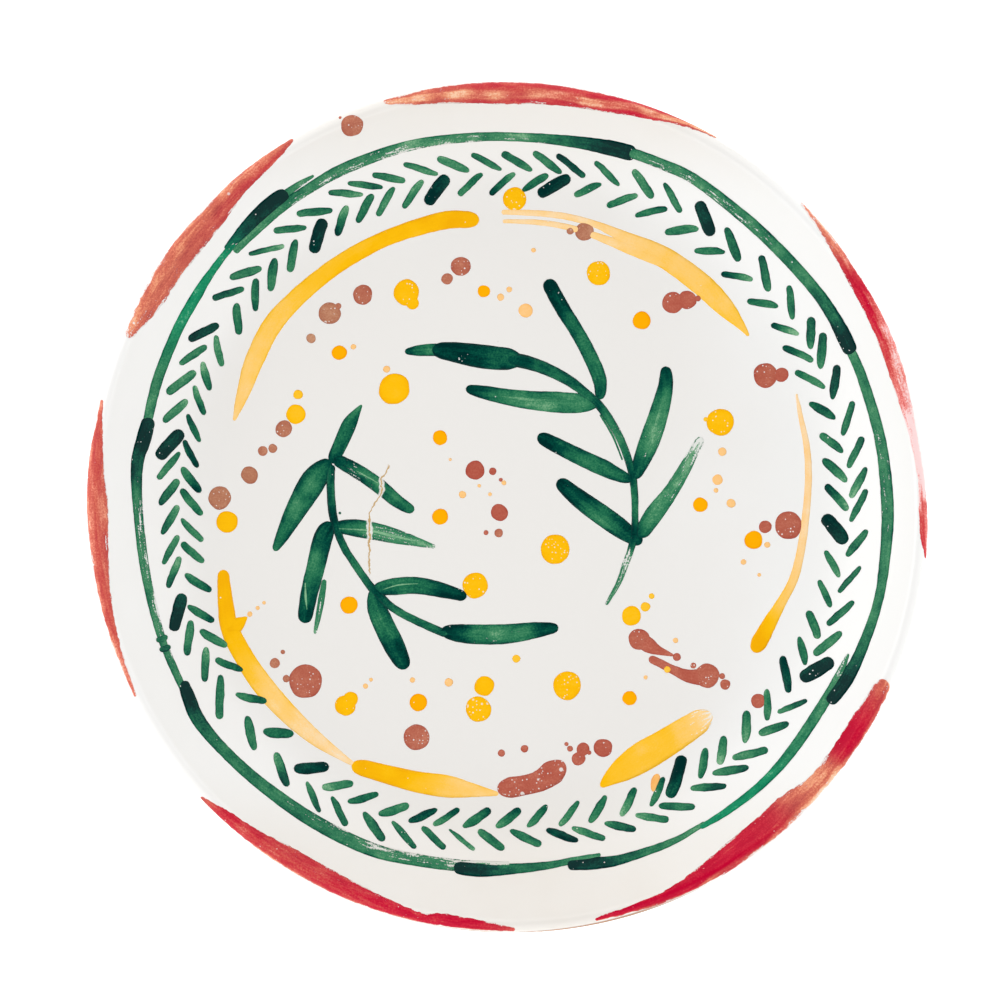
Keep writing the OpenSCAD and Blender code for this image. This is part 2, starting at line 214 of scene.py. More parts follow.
paper = new_finish("paper")
paper.finish(
    Base_Color=tone(246, 246, 246),
    Roughness=0.9,
    Emission_Color=tone(255, 255, 255),
    Emission_Strength=0.55,
)
bm = bmesh.new()
bmesh.ops.create_grid(bm, x_segments=8, y_segments=8, size=3.0)
floor = put_in_scene("floor", bm, paper.material)
print("floor", floor.dimensions)

# %% [markdown]
# ## The shape of the plate
# The eating side is flat to 96 mm, then rises in one arc and turns over a rolled lip.
# Everything painted has to lie on that surface, so the surface is a function of the
# distance run along it from the centre, and both the plate and the paint use it.
# A thrown plate is never quite round: this one is a little longer than it is wide.

# %% The run of the eating side
PLATE_R, PLATE_H, CLAY, GLAZE, FOOT_H = 140.0, 28.0, 5.0, 0.4, 5.0
WELL_R, LIP_SWELL = 96.0, 0.3
LIP_R = CLAY / 2 + LIP_SWELL
LIP_X, LIP_Z = PLATE_R - LIP_R - GLAZE, PLATE_H - LIP_R - GLAZE
WALL_TURN = 2 * math.atan((LIP_Z - FOOT_H - CLAY / 2) / (LIP_X - WELL_R))
BEND_R = (LIP_X - WELL_R) / math.sin(WALL_TURN)
BEND_Z = LIP_Z + BEND_R * math.cos(WALL_TURN)
CREST = LIP_X + 1.6
print("wall turns", round(math.degrees(WALL_TURN), 1), "degrees round", round(BEND_R, 1), "mm")


def smooth_step(x, low, high):
    t = min(max((x - low) / (high - low), 0.0), 1.0)
    return t * t * (3 - 2 * t)


def eating_side(run, coat=GLAZE):
    """(radius, height, normal's radius, normal's height) at that run, in mm."""
    bend = BEND_R - CLAY / 2 - coat
    wall_run = bend * WALL_TURN
    if run <= WELL_R:
        return run, FOOT_H + CLAY + coat, 0.0, 1.0
    if run <= WELL_R + wall_run:
        a = (run - WELL_R) / bend
        return WELL_R + bend * math.sin(a), BEND_Z - bend * math.cos(a), -math.sin(a), math.cos(a)
    turned = (run - WELL_R - wall_run) / (LIP_R + coat)
    a = math.pi / 2 + WALL_TURN - turned
    r = CLAY / 2 + coat + LIP_SWELL * smooth_step(turned, 0.0, 0.7)
    return LIP_X + r * math.cos(a), LIP_Z + r * math.sin(a), math.cos(a), math.sin(a)


# %% Where a point of the plate lies
BEND = BEND_R - CLAY / 2 - GLAZE
RUN_TO_LIP = WELL_R + BEND * WALL_TURN
LIP_START = WELL_R + BEND * math.sin(WALL_TURN)
RUN_OVER_LIP = RUN_TO_LIP + (LIP_R + GLAZE) * (math.pi / 2 + WALL_TURN)


def run_at(radius):
    """The run whose point lies at that radius. Past the crest it goes on over the lip."""
    if radius <= WELL_R:
        return radius
    if radius <= LIP_START:
        return WELL_R + BEND * math.asin((radius - WELL_R) / BEND)
    a = math.acos((min(radius, CREST) - LIP_X) / (LIP_R + GLAZE))
    first = math.acos((LIP_START - LIP_X) / (LIP_R + GLAZE))
    return RUN_TO_LIP + (LIP_R + GLAZE) * (first - a) + max(radius - CREST, 0.0) * 1.2


def out_of_round(angle, radius):
    """How far a hand thrown edge strays from the circle, in mm."""
    stray = -math.cos(2 * angle - 0.64) - 0.35 * math.cos(4 * angle)
    return stray * smooth_step(radius, 88.0, 138.0)


def sag(angle, radius):
    return 0.35 * math.cos(2 * angle + 0.7) * smooth_step(radius, 92.0, 138.0)


def throw(radius, height, angle):
    """A point of the true round plate, moved to where the thrown plate has it."""
    r = radius + out_of_round(angle, radius)
    return Vector((r * math.cos(angle), r * math.sin(angle), height + sag(angle, radius))) * MM


print("run to the lip", round(RUN_TO_LIP, 1), "mm")

# %% [markdown]
# ## Turning a profile
# A potter turns a profile, and so does Spin: the profile's vertices are swept round the
# axis, the first and last copies are merged, and the points on the axis close up. `lay`
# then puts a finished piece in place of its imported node.


# %% Turn a profile
def turned(bm, profile):
    verts = [bm.verts.new((max(r, 0.0), 0.0, z)) for r, z in profile]
    edges = [bm.edges.new(pair) for pair in zip(verts, verts[1:])]
    once_round = {"cent": (0, 0, 0), "axis": (0, 0, 1), "angle": 2 * math.pi, "steps": 240}
    bmesh.ops.spin(bm, geom=verts + edges, use_merge=True, **once_round)
    bmesh.ops.remove_doubles(bm, verts=bm.verts, dist=1e-4)


def thrown(bm):
    for v in bm.verts:
        v.co = throw(math.hypot(v.co.x, v.co.y), v.co.z, math.atan2(v.co.y, v.co.x))
    return bm


def lay(name, bm, material):
    bmesh.ops.recalc_face_normals(bm, faces=bm.faces)
    print(name, "faces", len(bm.faces), "open edges", sum(not e.is_manifold for e in bm.edges))
    piece = put_in_scene(name, bm, material)
    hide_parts(name)
    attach(piece, "root")


def spread(first, last, count):
    return [first + (last - first) * i / count for i in range(count + 1)]


# %% The profile of the plate
TRIMMING_RINGS = 52


def over_the_top(coat):
    """The eating side from the axis to the widest point of the lip."""
    runs = spread(0, WELL_R, 12) + spread(WELL_R, RUN_TO_LIP, 30)[1:]
    runs += spread(RUN_TO_LIP, RUN_OVER_LIP, 22)[1:]
    return [eating_side(run, coat)[:2] for run in runs]


def under_the_wall(coat, rings=0.0):
    """The back of the wall from the widest point of the lip in to the flat of the back."""
    points = []
    for a in spread(-4, -(90 - math.degrees(WALL_TURN)) + 2, 8):
        a = math.radians(a)
        points.append((LIP_X + (LIP_R + coat) * math.cos(a), LIP_Z + (LIP_R + coat) * math.sin(a)))
    back = BEND_R + CLAY / 2 + coat
    for i, a in enumerate(spread(WALL_TURN * 0.96, 0.0, 48)):
        ring = back + rings * math.sin(a * TRIMMING_RINGS)
        points.append((WELL_R + ring * math.sin(a), BEND_Z - ring * math.cos(a)))
    return points


# %% [markdown]
# ## The clay
# The body is one turned solid. It shows only where the glaze was wiped away so that the
# foot wouldn't stick to the kiln shelf, so its care goes into the foot: small chamfers,
# a flat standing face, and a matt sandy clay with fine trimming rings.

# %% Fired clay
def object_place(bench):
    """Wires of a point's X, Y and Z, and of its whole place."""
    place = bench.node("ShaderNodeTexCoord")["Object"]
    parts = bench.node("ShaderNodeSeparateXYZ", {}, {"Vector": place})
    parts["place"] = place
    return parts


def from_axis(xyz):
    return (xyz["X"] * xyz["X"] + xyz["Y"] * xyz["Y"]) ** 0.5


FINE_RINGS = 9000.0
clay = new_finish("fired_clay")
xyz = object_place(clay)
sand = clay.cloud(xyz["place"], 900.0, 5.0, 0.7)
patch = clay.cloud(xyz["place"], 45.0, 3.0)
rings = clay.node("ShaderNodeMath", {"operation": "SINE"}, {0: from_axis(xyz) * FINE_RINGS})["Value"]
grit = (sand * 0.6 + patch * 0.4).step(0.3, 0.75)
bump = clay.node("ShaderNodeBump", {}, {"Height": sand + rings * 0.15, "Strength": 0.5, "Distance": 0.0003})
clay.finish(
    Base_Color=clay.mix(grit, tone(158, 116, 84), tone(214, 178, 140)),
    Roughness=0.75 + sand * 0.2,
    Normal=bump["Normal"],
)

# %% Turn the body
bm = bmesh.new()
outside = [(78, 5), (75.6, 4.7), (74.6, 4), (73.6, 0.6), (73, 0)]
inside = [(69.4, 0), (68.8, 0.6), (68.1, 4), (67.2, 4.7), (65, 5)]
turned(bm, over_the_top(0.0) + under_the_wall(0.0) + outside + inside + [(30, 5), (0, 5)])
lay("clay_body", thrown(bm), clay.material)

# %% [markdown]
# ## The glaze
# The glaze is a skin 0.4 mm thick over the clay, one closed shell from the middle of the
# well, over the lip and down to the wiped line on the foot, and a second one inside the
# foot. Its edge on the foot is rounded, as melted glass draws itself up. The back keeps
# faint rings from the trimming tool. Its white is warm and a little uneven, it thins to
# a tan line where it ran off the lip, and one hair crack crosses the left sprig. Painted
# light makes the white paler toward the lip and on the right, and painted shade makes the
# top and bottom walls darker and creamier.

# %% The white and its hair crack
WHITE = tone(238, 236, 233)
TAN = tone(160, 110, 72)
STAIN = tone(196, 158, 96)
CRACK_X = -39.5


def hair_crack(bench, xyz):
    """Masks of the crack: its stained core, and the pale strip beside it."""
    across, up = xyz["X"] / MM, xyz["Y"] / MM
    jitter = bench.cloud(xyz["place"], 700.0, 2.0)
    bend = up.step(13.0, 9.0) * -2.2 + up.step(6.0, -3.0) * -4.0 + (jitter - 0.5) * 1.8
    aside = abs(across - (bend + CRACK_X))
    length = up.step(-23.0, -21.5) * up.step(14.5, 13.0)
    return aside.step(0.36, 0.16) * length, aside.step(1.1, 0.6) * length


def glaze_and_painted_light(bench, xyz, radius):
    """Cloudy warm white with painted light and shade: paler to the right and toward the lip, darker and
    creamier on the top and bottom walls.
    """
    cloud = bench.cloud(xyz["place"], 28.0, 4.0)
    # Painted light: the white turns paler toward the lip and on the right side; the cloud is the glaze's own
    # unevenness.
    cloud_and_painted_light = radius.step(80.0, 136.0) * 0.8 + (cloud - 0.5) * 0.5 + (xyz["X"] / MM).step(25.0, 105.0) * 0.7
    white = bench.mix(cloud_and_painted_light.step(0.0, 1.0), WHITE, tone(246, 246, 245))
    # Painted shade: the top and bottom walls turn darker and creamier.
    warm_painted_shade = abs(xyz["Y"] / MM - 8).step(88.0, 132.0) * (0.2 + cloud * 0.7)
    return bench.mix(warm_painted_shade, white, tone(230, 223, 214))


# %% White glaze
glaze = new_finish("white_glaze")
xyz = object_place(glaze)
radius, height = from_axis(xyz) / MM, xyz["Z"] / MM
# The glaze's white, with its painted light and painted shade.
white = glaze_and_painted_light(glaze, xyz, radius)
core = hair_crack(glaze, xyz)[0]
run_off = glaze.cloud(xyz["place"], 60.0, 4.0)
worn = radius.step(139.9, 140.3) * height.step(24.0, 25.5) * height.step(28.5, 26.8)
worn = worn * (xyz["Y"] / MM).step(-122.0, -136.0) * run_off.step(0.3, 0.42)
wiped = height.step(2.9, 2.1) * radius.step(78.0, 76.0)
white = glaze.mix(worn, white, TAN)
white = glaze.mix(wiped * 0.7, white, tone(214, 190, 160))
white = glaze.mix(core * 0.9, white, STAIN)
specks = glaze.node("ShaderNodeTexVoronoi", {}, {"Vector": xyz["place"], "Scale": 42.0, "Randomness": 1.0})
a_few = glaze.node("ShaderNodeSeparateColor", {}, {"Color": specks["Color"]})["Red"].step(0.86, 0.88)
white = glaze.mix(specks["Distance"].step(0.016, 0.009) * a_few * 0.7, white, tone(120, 104, 88))
ripple = glaze.cloud(xyz["place"], 120.0, 2.0)
bump = glaze.node("ShaderNodeBump", {}, {"Height": ripple - core * 0.4, "Strength": 0.12, "Distance": 0.0004})
glaze.finish(Base_Color=white, Roughness=0.12 + ripple * 0.1, Normal=bump["Normal"])

# %% Turn the glaze
bm = bmesh.new()
edge = [(80, 4.6), (77, 4.45), (75.7, 3.9), (75, 3.1), (74.75, 2.5), (74.45, 2.1), (74.05, 1.95), (73.8, 2.1)]
lining = [(74.2, 4.2), (75.4, 4.8), (78, 5.05)]
inner = over_the_top(-0.04) + under_the_wall(-0.04)
turned(bm, over_the_top(GLAZE) + under_the_wall(GLAZE, rings=0.1) + edge + lining + inner[::-1])
edge = [(64, 4.6), (66, 4.4), (67.2, 3.8), (67.9, 2.8), (68.2, 2.2), (68.45, 1.95), (68.7, 2.1)]
lining = [(68.3, 4.0), (67.3, 4.75), (65, 5.05)]
turned(bm, [(0, 4.6), (30, 4.6)] + edge + lining + [(30, 5.05), (0, 5.05)])
lay("white_glaze", thrown(bm), glaze.material)

# %% [markdown]
# ## How a brush stroke is made
# A loaded brush leaves a low ridge of colour: thick and dark where it touched down, thin
# and streaky as it ran dry, with a rim where the wet colour drew back. So each stroke is
# a grid, extruded into a closed sheet, whose length follows the path of the brush and
# whose width follows how hard it was pressed. The knots of a path say where the brush
# was, how wide, how loaded (0 pale, 1 dark), how dry, and how far the colour was tinted.


# %% Lay a point on the plate
def settle(x, y, lift):
    """The point at x, y as seen from above, that far off the glaze."""
    angle, seen = math.atan2(y, x), math.hypot(x, y)
    r, z, out, up = eating_side(run_at(max(seen - out_of_round(angle, seen), 0.0)))
    return throw(r + out * lift, z + up * lift, angle)


# %% Walk along the knots
def curve(a, b, c, d, t):
    """A smooth curve through four knots, between the middle two."""
    return [
        (2 * q + (r - p) * t + (2 * p - 5 * q + 4 * r - s) * t * t + (3 * q - 3 * r + s - p) * t ** 3) / 2
        for p, q, r, s in zip(a, b, c, d)
    ]


def walk(knots, fraction):
    """Where the brush is at that fraction of its path."""
    legs = [math.dist(a[:2], b[:2]) for a, b in zip(knots, knots[1:])]
    left = fraction * sum(legs)
    for i, leg in enumerate(legs):
        if left <= leg or i == len(legs) - 1:
            around = [knots[max(min(j, len(knots) - 1), 0)] for j in (i - 1, i, i + 1, i + 2)]
            return curve(*around, min(left / leg, 1.0))
        left -= leg


def filled(knot):
    """Adds what a knot leaves out: its load, dryness and tint."""
    return list(knot) + [0.0, 0.0, 0.6, 0.6, 0.0, 0.0][len(knot):]


def round_the_plate(knots):
    """Knots given by angle and radius, turned into x and y."""
    return [(r * math.cos(math.radians(a)), r * math.sin(math.radians(a)), *rest) for a, r, *rest in knots]


# %% What each point of a stroke remembers
MARKS = ("load", "dry", "tint", "side", "gas")


def paint_layers(bm):
    number, maps = bm.verts.layers.float, bm.loops.layers.uv
    return [number.get(n) or number.new(n) for n in MARKS], maps.get("stroke") or maps.new("stroke")


def mark(v, layers, values, where):
    for layer, value in zip(layers[0], values):
        v[layer] = value
    for loop in v.link_loops:
        loop[layers[1]].uv = (where[0] * MM, where[1] * MM)


PAINT, EDGE_LIFT, SUNK = 0.14, 0.015, 0.06
strokes_laid = 0


def wavering(x, seed):
    return noise.noise(Vector((x, 7.3 * strokes_laid, seed)))


# %% Prints of the brush along its path
def prints(knots, pace, ragged, blunt, taper):
    """Rows across the stroke: x, y, heading, half width, run, its two edges and its load."""
    length = sum(math.dist(a[:2], b[:2]) for a, b in zip(knots, knots[1:]))
    count = max(int(length / pace), 12)
    rows = []
    for i in range(count + 1):
        u = i / count * 0.3 + (0.5 - 0.5 * math.cos(math.pi * i / count)) * 0.7
        x, y, width, *how = walk(knots, u)
        before, after = walk(knots, max(u - 0.01, 0.0)), walk(knots, min(u + 0.01, 1.0))
        heading = math.atan2(after[1] - before[1], after[0] - before[0])
        half, run = max(width, 0.2) / 2, u * length
        to_end = min(min(run, length - run) / (half * taper), 1.0)
        reach = half * (blunt + (1 - blunt) * max(1 - (1 - to_end) ** 2, 0.0) ** 0.62)
        room = min(ragged, reach * 0.3)
        wander = [wavering(run / 1.9, seed) + 0.5 * wavering(run / 0.7, seed + 3) for seed in (0.0, 1.0)]
        rows.append((x, y, heading, half, run, [reach + room * w for w in wander], how))
    return rows


# %% One stroke of the brush
def brush(
    bm, knots, across=6, pace=0.9, ragged=0.1, blunt=0.06, taper=1.5, over=0.0, lean=0.0, gas=0.0,
    stripe=(0, 1, 0, 0),
):
    """Adds a stroke. ragged is how far its edges wander and over lifts it onto paint already
    there, both in mm; blunt and taper shape its rounded ends, and taper is their length in
    half widths. lean dries its left side more than its right, and gas fills it with pinholes.
    A stripe is a line of other colour: its side, breadth, load and tint."""
    global strokes_laid
    strokes_laid += 1
    rows = prints([filled(k) for k in knots], pace, ragged, blunt, taper)
    count = len(rows) - 1
    layers = paint_layers(bm)
    grid = bmesh.ops.create_grid(bm, x_segments=count, y_segments=across, size=1.0)["verts"]
    sheet = list({f for v in grid for f in v.link_faces})
    seats = [(v, v.co.x, v.co.y, False) for v in grid]
    raised = bmesh.ops.extrude_face_region(bm, geom=sheet)["geom"]
    tops = [(v, v.co.x, v.co.y, True) for v in raised if isinstance(v, bmesh.types.BMVert)]
    for v, place, side, is_top in seats + tops:
        x, y, heading, half, run, edges, (load, dry, tint) = rows[round((place + 1) / 2 * count)]
        off = side * edges[0 if side < 0 else 1]
        crown = PAINT * (1 - side ** 4) * (0.45 + 0.55 * min(load, 1.0))
        lift = EDGE_LIFT + over + crown if is_top else -SUNK
        v.co = settle(x - off * math.sin(heading), y + off * math.cos(heading), lift)
        at, breadth, more_load, more_tint = stripe
        struck = smooth_step(abs(side - at - 0.25 * wavering(run / 12, 15.0)), breadth, breadth * 0.4)
        struck *= min(max(0.75 + wavering(run / 7, 18.0), 0.0), 1.0)
        pooled = load + 0.16 * side * wavering(run / 8, 9.0) + 0.1 * wavering(run / 5, 12.0)
        pooled += more_load * struck
        where = (run + 40 * strokes_laid, side * half + 15 * (strokes_laid % 7))
        gassy = gas + 0.4 * smooth_step(load, 0.85, 1.0)
        mark(v, layers, (pooled, dry * (1 + lean * side), tint + more_tint * struck, side, gassy), where)


# %% [markdown]
# ## How a drop is made
# A thrown drop lands as a small lens, not quite round. A ball with few faces is squashed
# onto the plate: its upper half becomes the dome and its lower half the sunken base.


# %% One thrown drop
def drop(bm, x, y, size, load=0.6, tint=0.0, gas=0.15, over=0.0):
    global strokes_laid
    strokes_laid += 1
    layers = paint_layers(bm)
    rounds, rings = (32, 12) if size > 3.2 else (16, 6)
    ball = bmesh.ops.create_uvsphere(bm, u_segments=rounds, v_segments=rings, radius=1.0)["verts"]
    for v in ball:
        angle, reach = math.atan2(v.co.y, v.co.x), math.hypot(v.co.x, v.co.y)
        around = Vector((math.cos(angle) * 0.8, math.sin(angle) * 0.8, strokes_laid * 3.7))
        uneven = 1 + 0.12 * noise.noise(around) + 0.03 * noise.noise(around * 3.1)
        far = min(reach, 1.0) * size / 2 * uneven
        lift = EDGE_LIFT + over + 0.12 * v.co.z if v.co.z >= 0 else EDGE_LIFT + (SUNK + EDGE_LIFT) * v.co.z
        aside = (far * math.cos(angle), far * math.sin(angle))
        v.co = settle(x + aside[0], y + aside[1], lift)
        where = (aside[0] + 20 * strokes_laid, aside[1] + 9 * (strokes_laid % 5))
        mark(v, layers, (load, 0.0, tint, reach, gas), where)


# %% [markdown]
# ## Brush colour
# The colours are slips thinned with water, so one recipe makes them all. How much
# pigment lies at a point picks a colour from a row of five, pale to dark. The amount is
# the load of the brush, plus streaks drawn out along the stroke, plus grain, plus the
# rim where the wet edge dried. Where the brush ran dry the white shows between streaks,
# and gas in the glaze left round white pinholes where the colour is thick.


# %% Streaks, shades and pinholes
STRETCH = 1.6


def streaked(bench, along, across, detail):
    """Noise about 0, drawn out along the stroke. along and across are its scales."""
    path = bench.node("ShaderNodeUVMap", {"uv_map": "stroke"})["UV"]
    drawn = bench.node("ShaderNodeMapping", {}, {"Vector": path, "Scale": (along, across, 1.0)})["Vector"]
    return bench.cloud(drawn, 1.0, detail, 0.6) - 0.5


def picked(bench, shades, thick):
    stops = [(i / (len(shades) - 1), tone(*shade)) for i, shade in enumerate(shades)]
    return bench.node("ShaderNodeValToRGB", {"stops": stops}, {"Fac": thick})["Color"]


def pinholes(bench, place, width, how_many):
    sockets = {"Vector": place, "Scale": 420.0 / width, "Randomness": 1.0}
    cells = bench.node("ShaderNodeTexVoronoi", {}, sockets)
    chance = bench.node("ShaderNodeSeparateColor", {}, {"Color": cells["Color"]})
    size = 0.12 + chance["Green"] * 0.16
    return (cells["Distance"] - size).step(0.05, -0.05) * (chance["Red"] + how_many).step(0.99, 1.0)


# %% The recipe for a slip colour
def slip_colour(
    name, shades, tinted, streaks=0.2, grain=0.15, rim=0.2, fray=0.0, bubble=1.0, mottle=1.0,
    cracked=False,
):
    """fray opens the edges of a stroke, bubble is how freely it pinholes, mottle how cloudy it dries."""
    bench = new_finish(name)
    xyz = object_place(bench)
    found = [bench.node("ShaderNodeAttribute", {"attribute_name": n})["Fac"] for n in MARKS]
    load, dry, tint, side, gas = found
    fine, broad = streaked(bench, 110.0, 1100.0, 3.0), streaked(bench, 90.0, 330.0, 2.0)
    puddle, speck = (bench.cloud(xyz["place"], *how, 0.6) - 0.5 for how in ((240.0, 4.0), (1700.0, 2.0)))
    edge = abs(side)
    thick = load + fine * STRETCH * streaks + broad * STRETCH * streaks
    thick = thick + puddle * STRETCH * grain * mottle + speck * STRETCH * grain
    thick = thick + (edge ** 6) * rim * (1 + puddle * 3)
    colour = bench.mix(tint, picked(bench, shades, thick), picked(bench, tinted, thick))
    small = pinholes(bench, xyz["place"], 0.42, (gas + puddle * 1.6).step(0.15, 1.25) * 0.7 * bubble)
    large = pinholes(bench, xyz["place"], 1.1, (gas - 1) * 0.6)
    hole = (1 - (1 - small) * (1 - large)) * edge.step(0.97, 0.85)
    bare = (dry * 0.75 + fine * 1.8 + speck * 0.9 + (edge ** 5) * fray).step(0.42, 0.6)
    bare = bare * (dry + fray).step(0.02, 0.15)
    gone = 1 - (1 - bare * 0.85) * (1 - hole * 0.8)
    if cracked:
        core, strip = hair_crack(bench, xyz)
        gone = 1 - (1 - gone) * (1 - strip * 0.85)
    # Where the colour is gone the white glaze shows, with its painted light and shade.
    colour = bench.mix(gone, colour, glaze_and_painted_light(bench, xyz, from_axis(xyz) / MM))
    if cracked:
        colour = bench.mix(core * 0.9, colour, STAIN)
    bump = bench.node("ShaderNodeBump", {}, {"Height": thick - hole, "Strength": 0.2, "Distance": 0.0002})
    dull = 0.17 + puddle * 0.15
    return bench.finish(Base_Color=colour, Roughness=dull, Normal=bump["Normal"], Specular_IOR_Level=0.08)


# %% The slips
GREENS = [(132, 182, 142), (68, 138, 98), (34, 110, 78), (4, 72, 60), (0, 44, 42)]
TEALS = [(140, 205, 170), (26, 148, 104), (4, 124, 86), (2, 90, 74), (0, 50, 50)]
YELLOWS = [(252, 226, 182), (255, 208, 118), (254, 198, 58), (253, 191, 14), (246, 176, 10)]
AMBERS = [(253, 205, 110), (254, 188, 50), (255, 178, 8), (252, 170, 4), (240, 148, 10)]
PEACHES = [(253, 232, 208), (253, 216, 168), (252, 200, 132), (250, 188, 108), (244, 170, 92)]
REDS = [(251, 218, 218), (238, 134, 128), (210, 78, 76), (206, 34, 60), (192, 8, 50)]
CORALS = [(248, 206, 172), (238, 158, 122), (214, 114, 92), (192, 92, 80), (170, 74, 68)]
CLAYS = [(226, 176, 156), (204, 128, 106), (184, 98, 80), (172, 78, 64), (150, 60, 54)]
TANS = [(226, 190, 160), (206, 158, 126), (182, 126, 98), (166, 104, 82), (150, 88, 70)]
green = slip_colour("green_slip", GREENS, TEALS, streaks=0.24, grain=0.38, rim=0.26, cracked=True)
yellow = slip_colour("yellow_slip", YELLOWS, PEACHES, streaks=0.1, rim=0.2)
amber = slip_colour("amber_slip", AMBERS, YELLOWS, streaks=0.06, rim=0.3)
peach = slip_colour("peach_slip", PEACHES, YELLOWS, streaks=0.06, rim=0.25)
red = slip_colour(
    "red_slip", REDS, CORALS, streaks=0.5, grain=0.5, rim=0.1, fray=0.6, bubble=0.0, mottle=0.35
)
terracotta = slip_colour("terracotta_slip", CLAYS, TANS, streaks=0.1, grain=0.3, rim=0.15)
print("finishes", [finish.name for finish in bpy.data.materials])

# %% [markdown]
# ## The green band
# Some ten loads of the brush went round, each starting in a dark wet blob over the dry
# tail of the one before, so the order and direction can still be read. The knots are
# angle, radius, width, load, dryness and tint, and three of the loads were partly bluer.
# The last two are small joints where the brush stopped.

# %% Green band
BAND = [
    [(24, 124.5, 4.6, 1), (27, 124.6, 4.8, 1), (30.5, 124.7, 4.2, 0.6), (35, 124.4, 3.8, 0.44),
     (42, 123.6, 3.8, 0.42, 0.15), (50, 123.5, 3.8, 0.4, 0.3), (60, 124.6, 3.4, 0.36, 0.35),
     (66, 124.2, 3.4, 0.36, 0.3), (71, 124, 3.2, 0.36)],
    [(70, 123.9, 5.2, 1), (74, 123.4, 5, 0.95), (79, 122.7, 4, 0.62), (86, 122.3, 3, 0.36, 0.2),
     (95, 122.7, 3, 0.26, 0.3), (105, 123.7, 3.4, 0.28, 0.4), (115, 124.1, 3.8, 0.32, 0.35),
     (122, 124, 3.4, 0.36, 0.3), (128, 123.8, 3, 0.36, 0.1), (137, 123.6, 2.4, 0.34)],
    [(120.3, 126.8, 0.8, 0.3, 0.3), (123, 126.9, 2, 0.3, 0.3), (126, 126.8, 2.6, 0.4)],
    [(125, 126.9, 4.6, 1), (128, 126.9, 5.2, 1), (131, 126.6, 4.8, 0.95), (134, 126.2, 4, 0.8, 0, 0.6),
     (137.6, 126.4, 1.2, 0.5, 0, 1)],
    [(136, 125.6, 2.2, 0.44, 0.2, 1), (141, 124.9, 2.4, 0.4, 0.35, 1), (146, 124.2, 3.4, 0.36, 0.1, 1),
     (152, 123.7, 3.4, 0.36, 0, 0.8), (160, 123, 3.4, 0.36), (167, 122.3, 3, 0.34)],
    [(166, 122, 4.4, 1), (169.5, 122.3, 4.8, 1), (173.5, 123.2, 4, 0.72), (180, 122.2, 3.2, 0.44, 0.3),
     (190, 121.6, 3, 0.36, 0.4), (200, 122.2, 2.6, 0.36, 0.4), (208, 122.7, 2.4, 0.36, 0.2),
     (212, 123, 1.6, 0.36)],
    [(208.2, 121.8, 3.4, 1), (211, 122.8, 4.4, 1), (214.5, 124, 4.4, 0.62), (220, 123.6, 3.8, 0.46),
     (228, 122.6, 4, 0.42), (238, 122, 4.6, 0.44, 0.25), (248, 121.8, 4.5, 0.4, 0.4),
     (256, 120.4, 4, 0.4, 0.45), (262, 119.6, 3.8, 0.36, 0.5), (266, 118.9, 3.2, 0.34, 0.7),
     (270.3, 118, 1.6, 0.32, 0.9)],
    [(261.5, 120.3, 4.4, 1), (265.5, 120.2, 4.8, 0.95), (269, 119.9, 3.8, 0.65), (276, 119.3, 2.6, 0.44),
     (281, 118.8, 2, 0.36), (285, 119, 1.2, 0.36)],
    [(279.5, 120, 3.4, 1), (283.5, 121.2, 4, 0.95), (288, 122.4, 3.2, 0.66), (296, 123.3, 2.2, 0.36),
     (302, 123.2, 1.4, 0.34)],
    [(301, 123.6, 1.6, 0.36, 0, 0.9), (306, 124, 2.4, 0.36, 0, 1), (313, 124.3, 2.8, 0.36, 0, 1),
     (320, 123.7, 3.4, 0.36, 0, 0.3), (329, 123, 3.4, 0.36), (333, 122.8, 2.6, 0.34, 0.3),
     (336.7, 122.6, 0.9, 0.3, 0.6)],
    [(328.6, 124.2, 4.2, 1), (332.5, 125.3, 4.8, 1), (337, 126, 3.7, 0.58), (345, 126.3, 3, 0.38),
     (352, 125.8, 3.4, 0.4), (360, 125.5, 4, 0.4, 0.2), (370, 125.1, 3.6, 0.36, 0.2), (380, 124.7, 3.2, 0.36),
     (385, 124.5, 3, 0.36)],
    [(200.8, 120.3, 1.6, 0.55), (200.9, 122.3, 2.2, 0.55), (200.8, 124.2, 1.4, 0.5)],
    [(202.4, 120.6, 1.6, 0.6), (202.5, 122.4, 2.2, 0.6), (202.3, 124.3, 1.4, 0.5)],
]
bm = bmesh.new()
for i, load in enumerate(BAND):
    over = 0.02 + 0.012 * ((i - 1) % len(BAND))
    brush(bm, round_the_plate(load), across=6, pace=1.1, over=over, lean=0.6, taper=1.2)
lay("green_band", bm, green)

# %% [markdown]
# ## The leaf border
# Sixty-seven pairs of leaves, each one press of a small brush, run round between the band
# and the well. The outer leaf of a pair leans out and the inner one leans in, both away
# from a point that faces clockwise. The spacing is the painter's own, so each start angle
# is given. A few leaves were laid just after the brush was dipped, and a few were pressed
# harder or lighter, or pulled longer, than the rest.

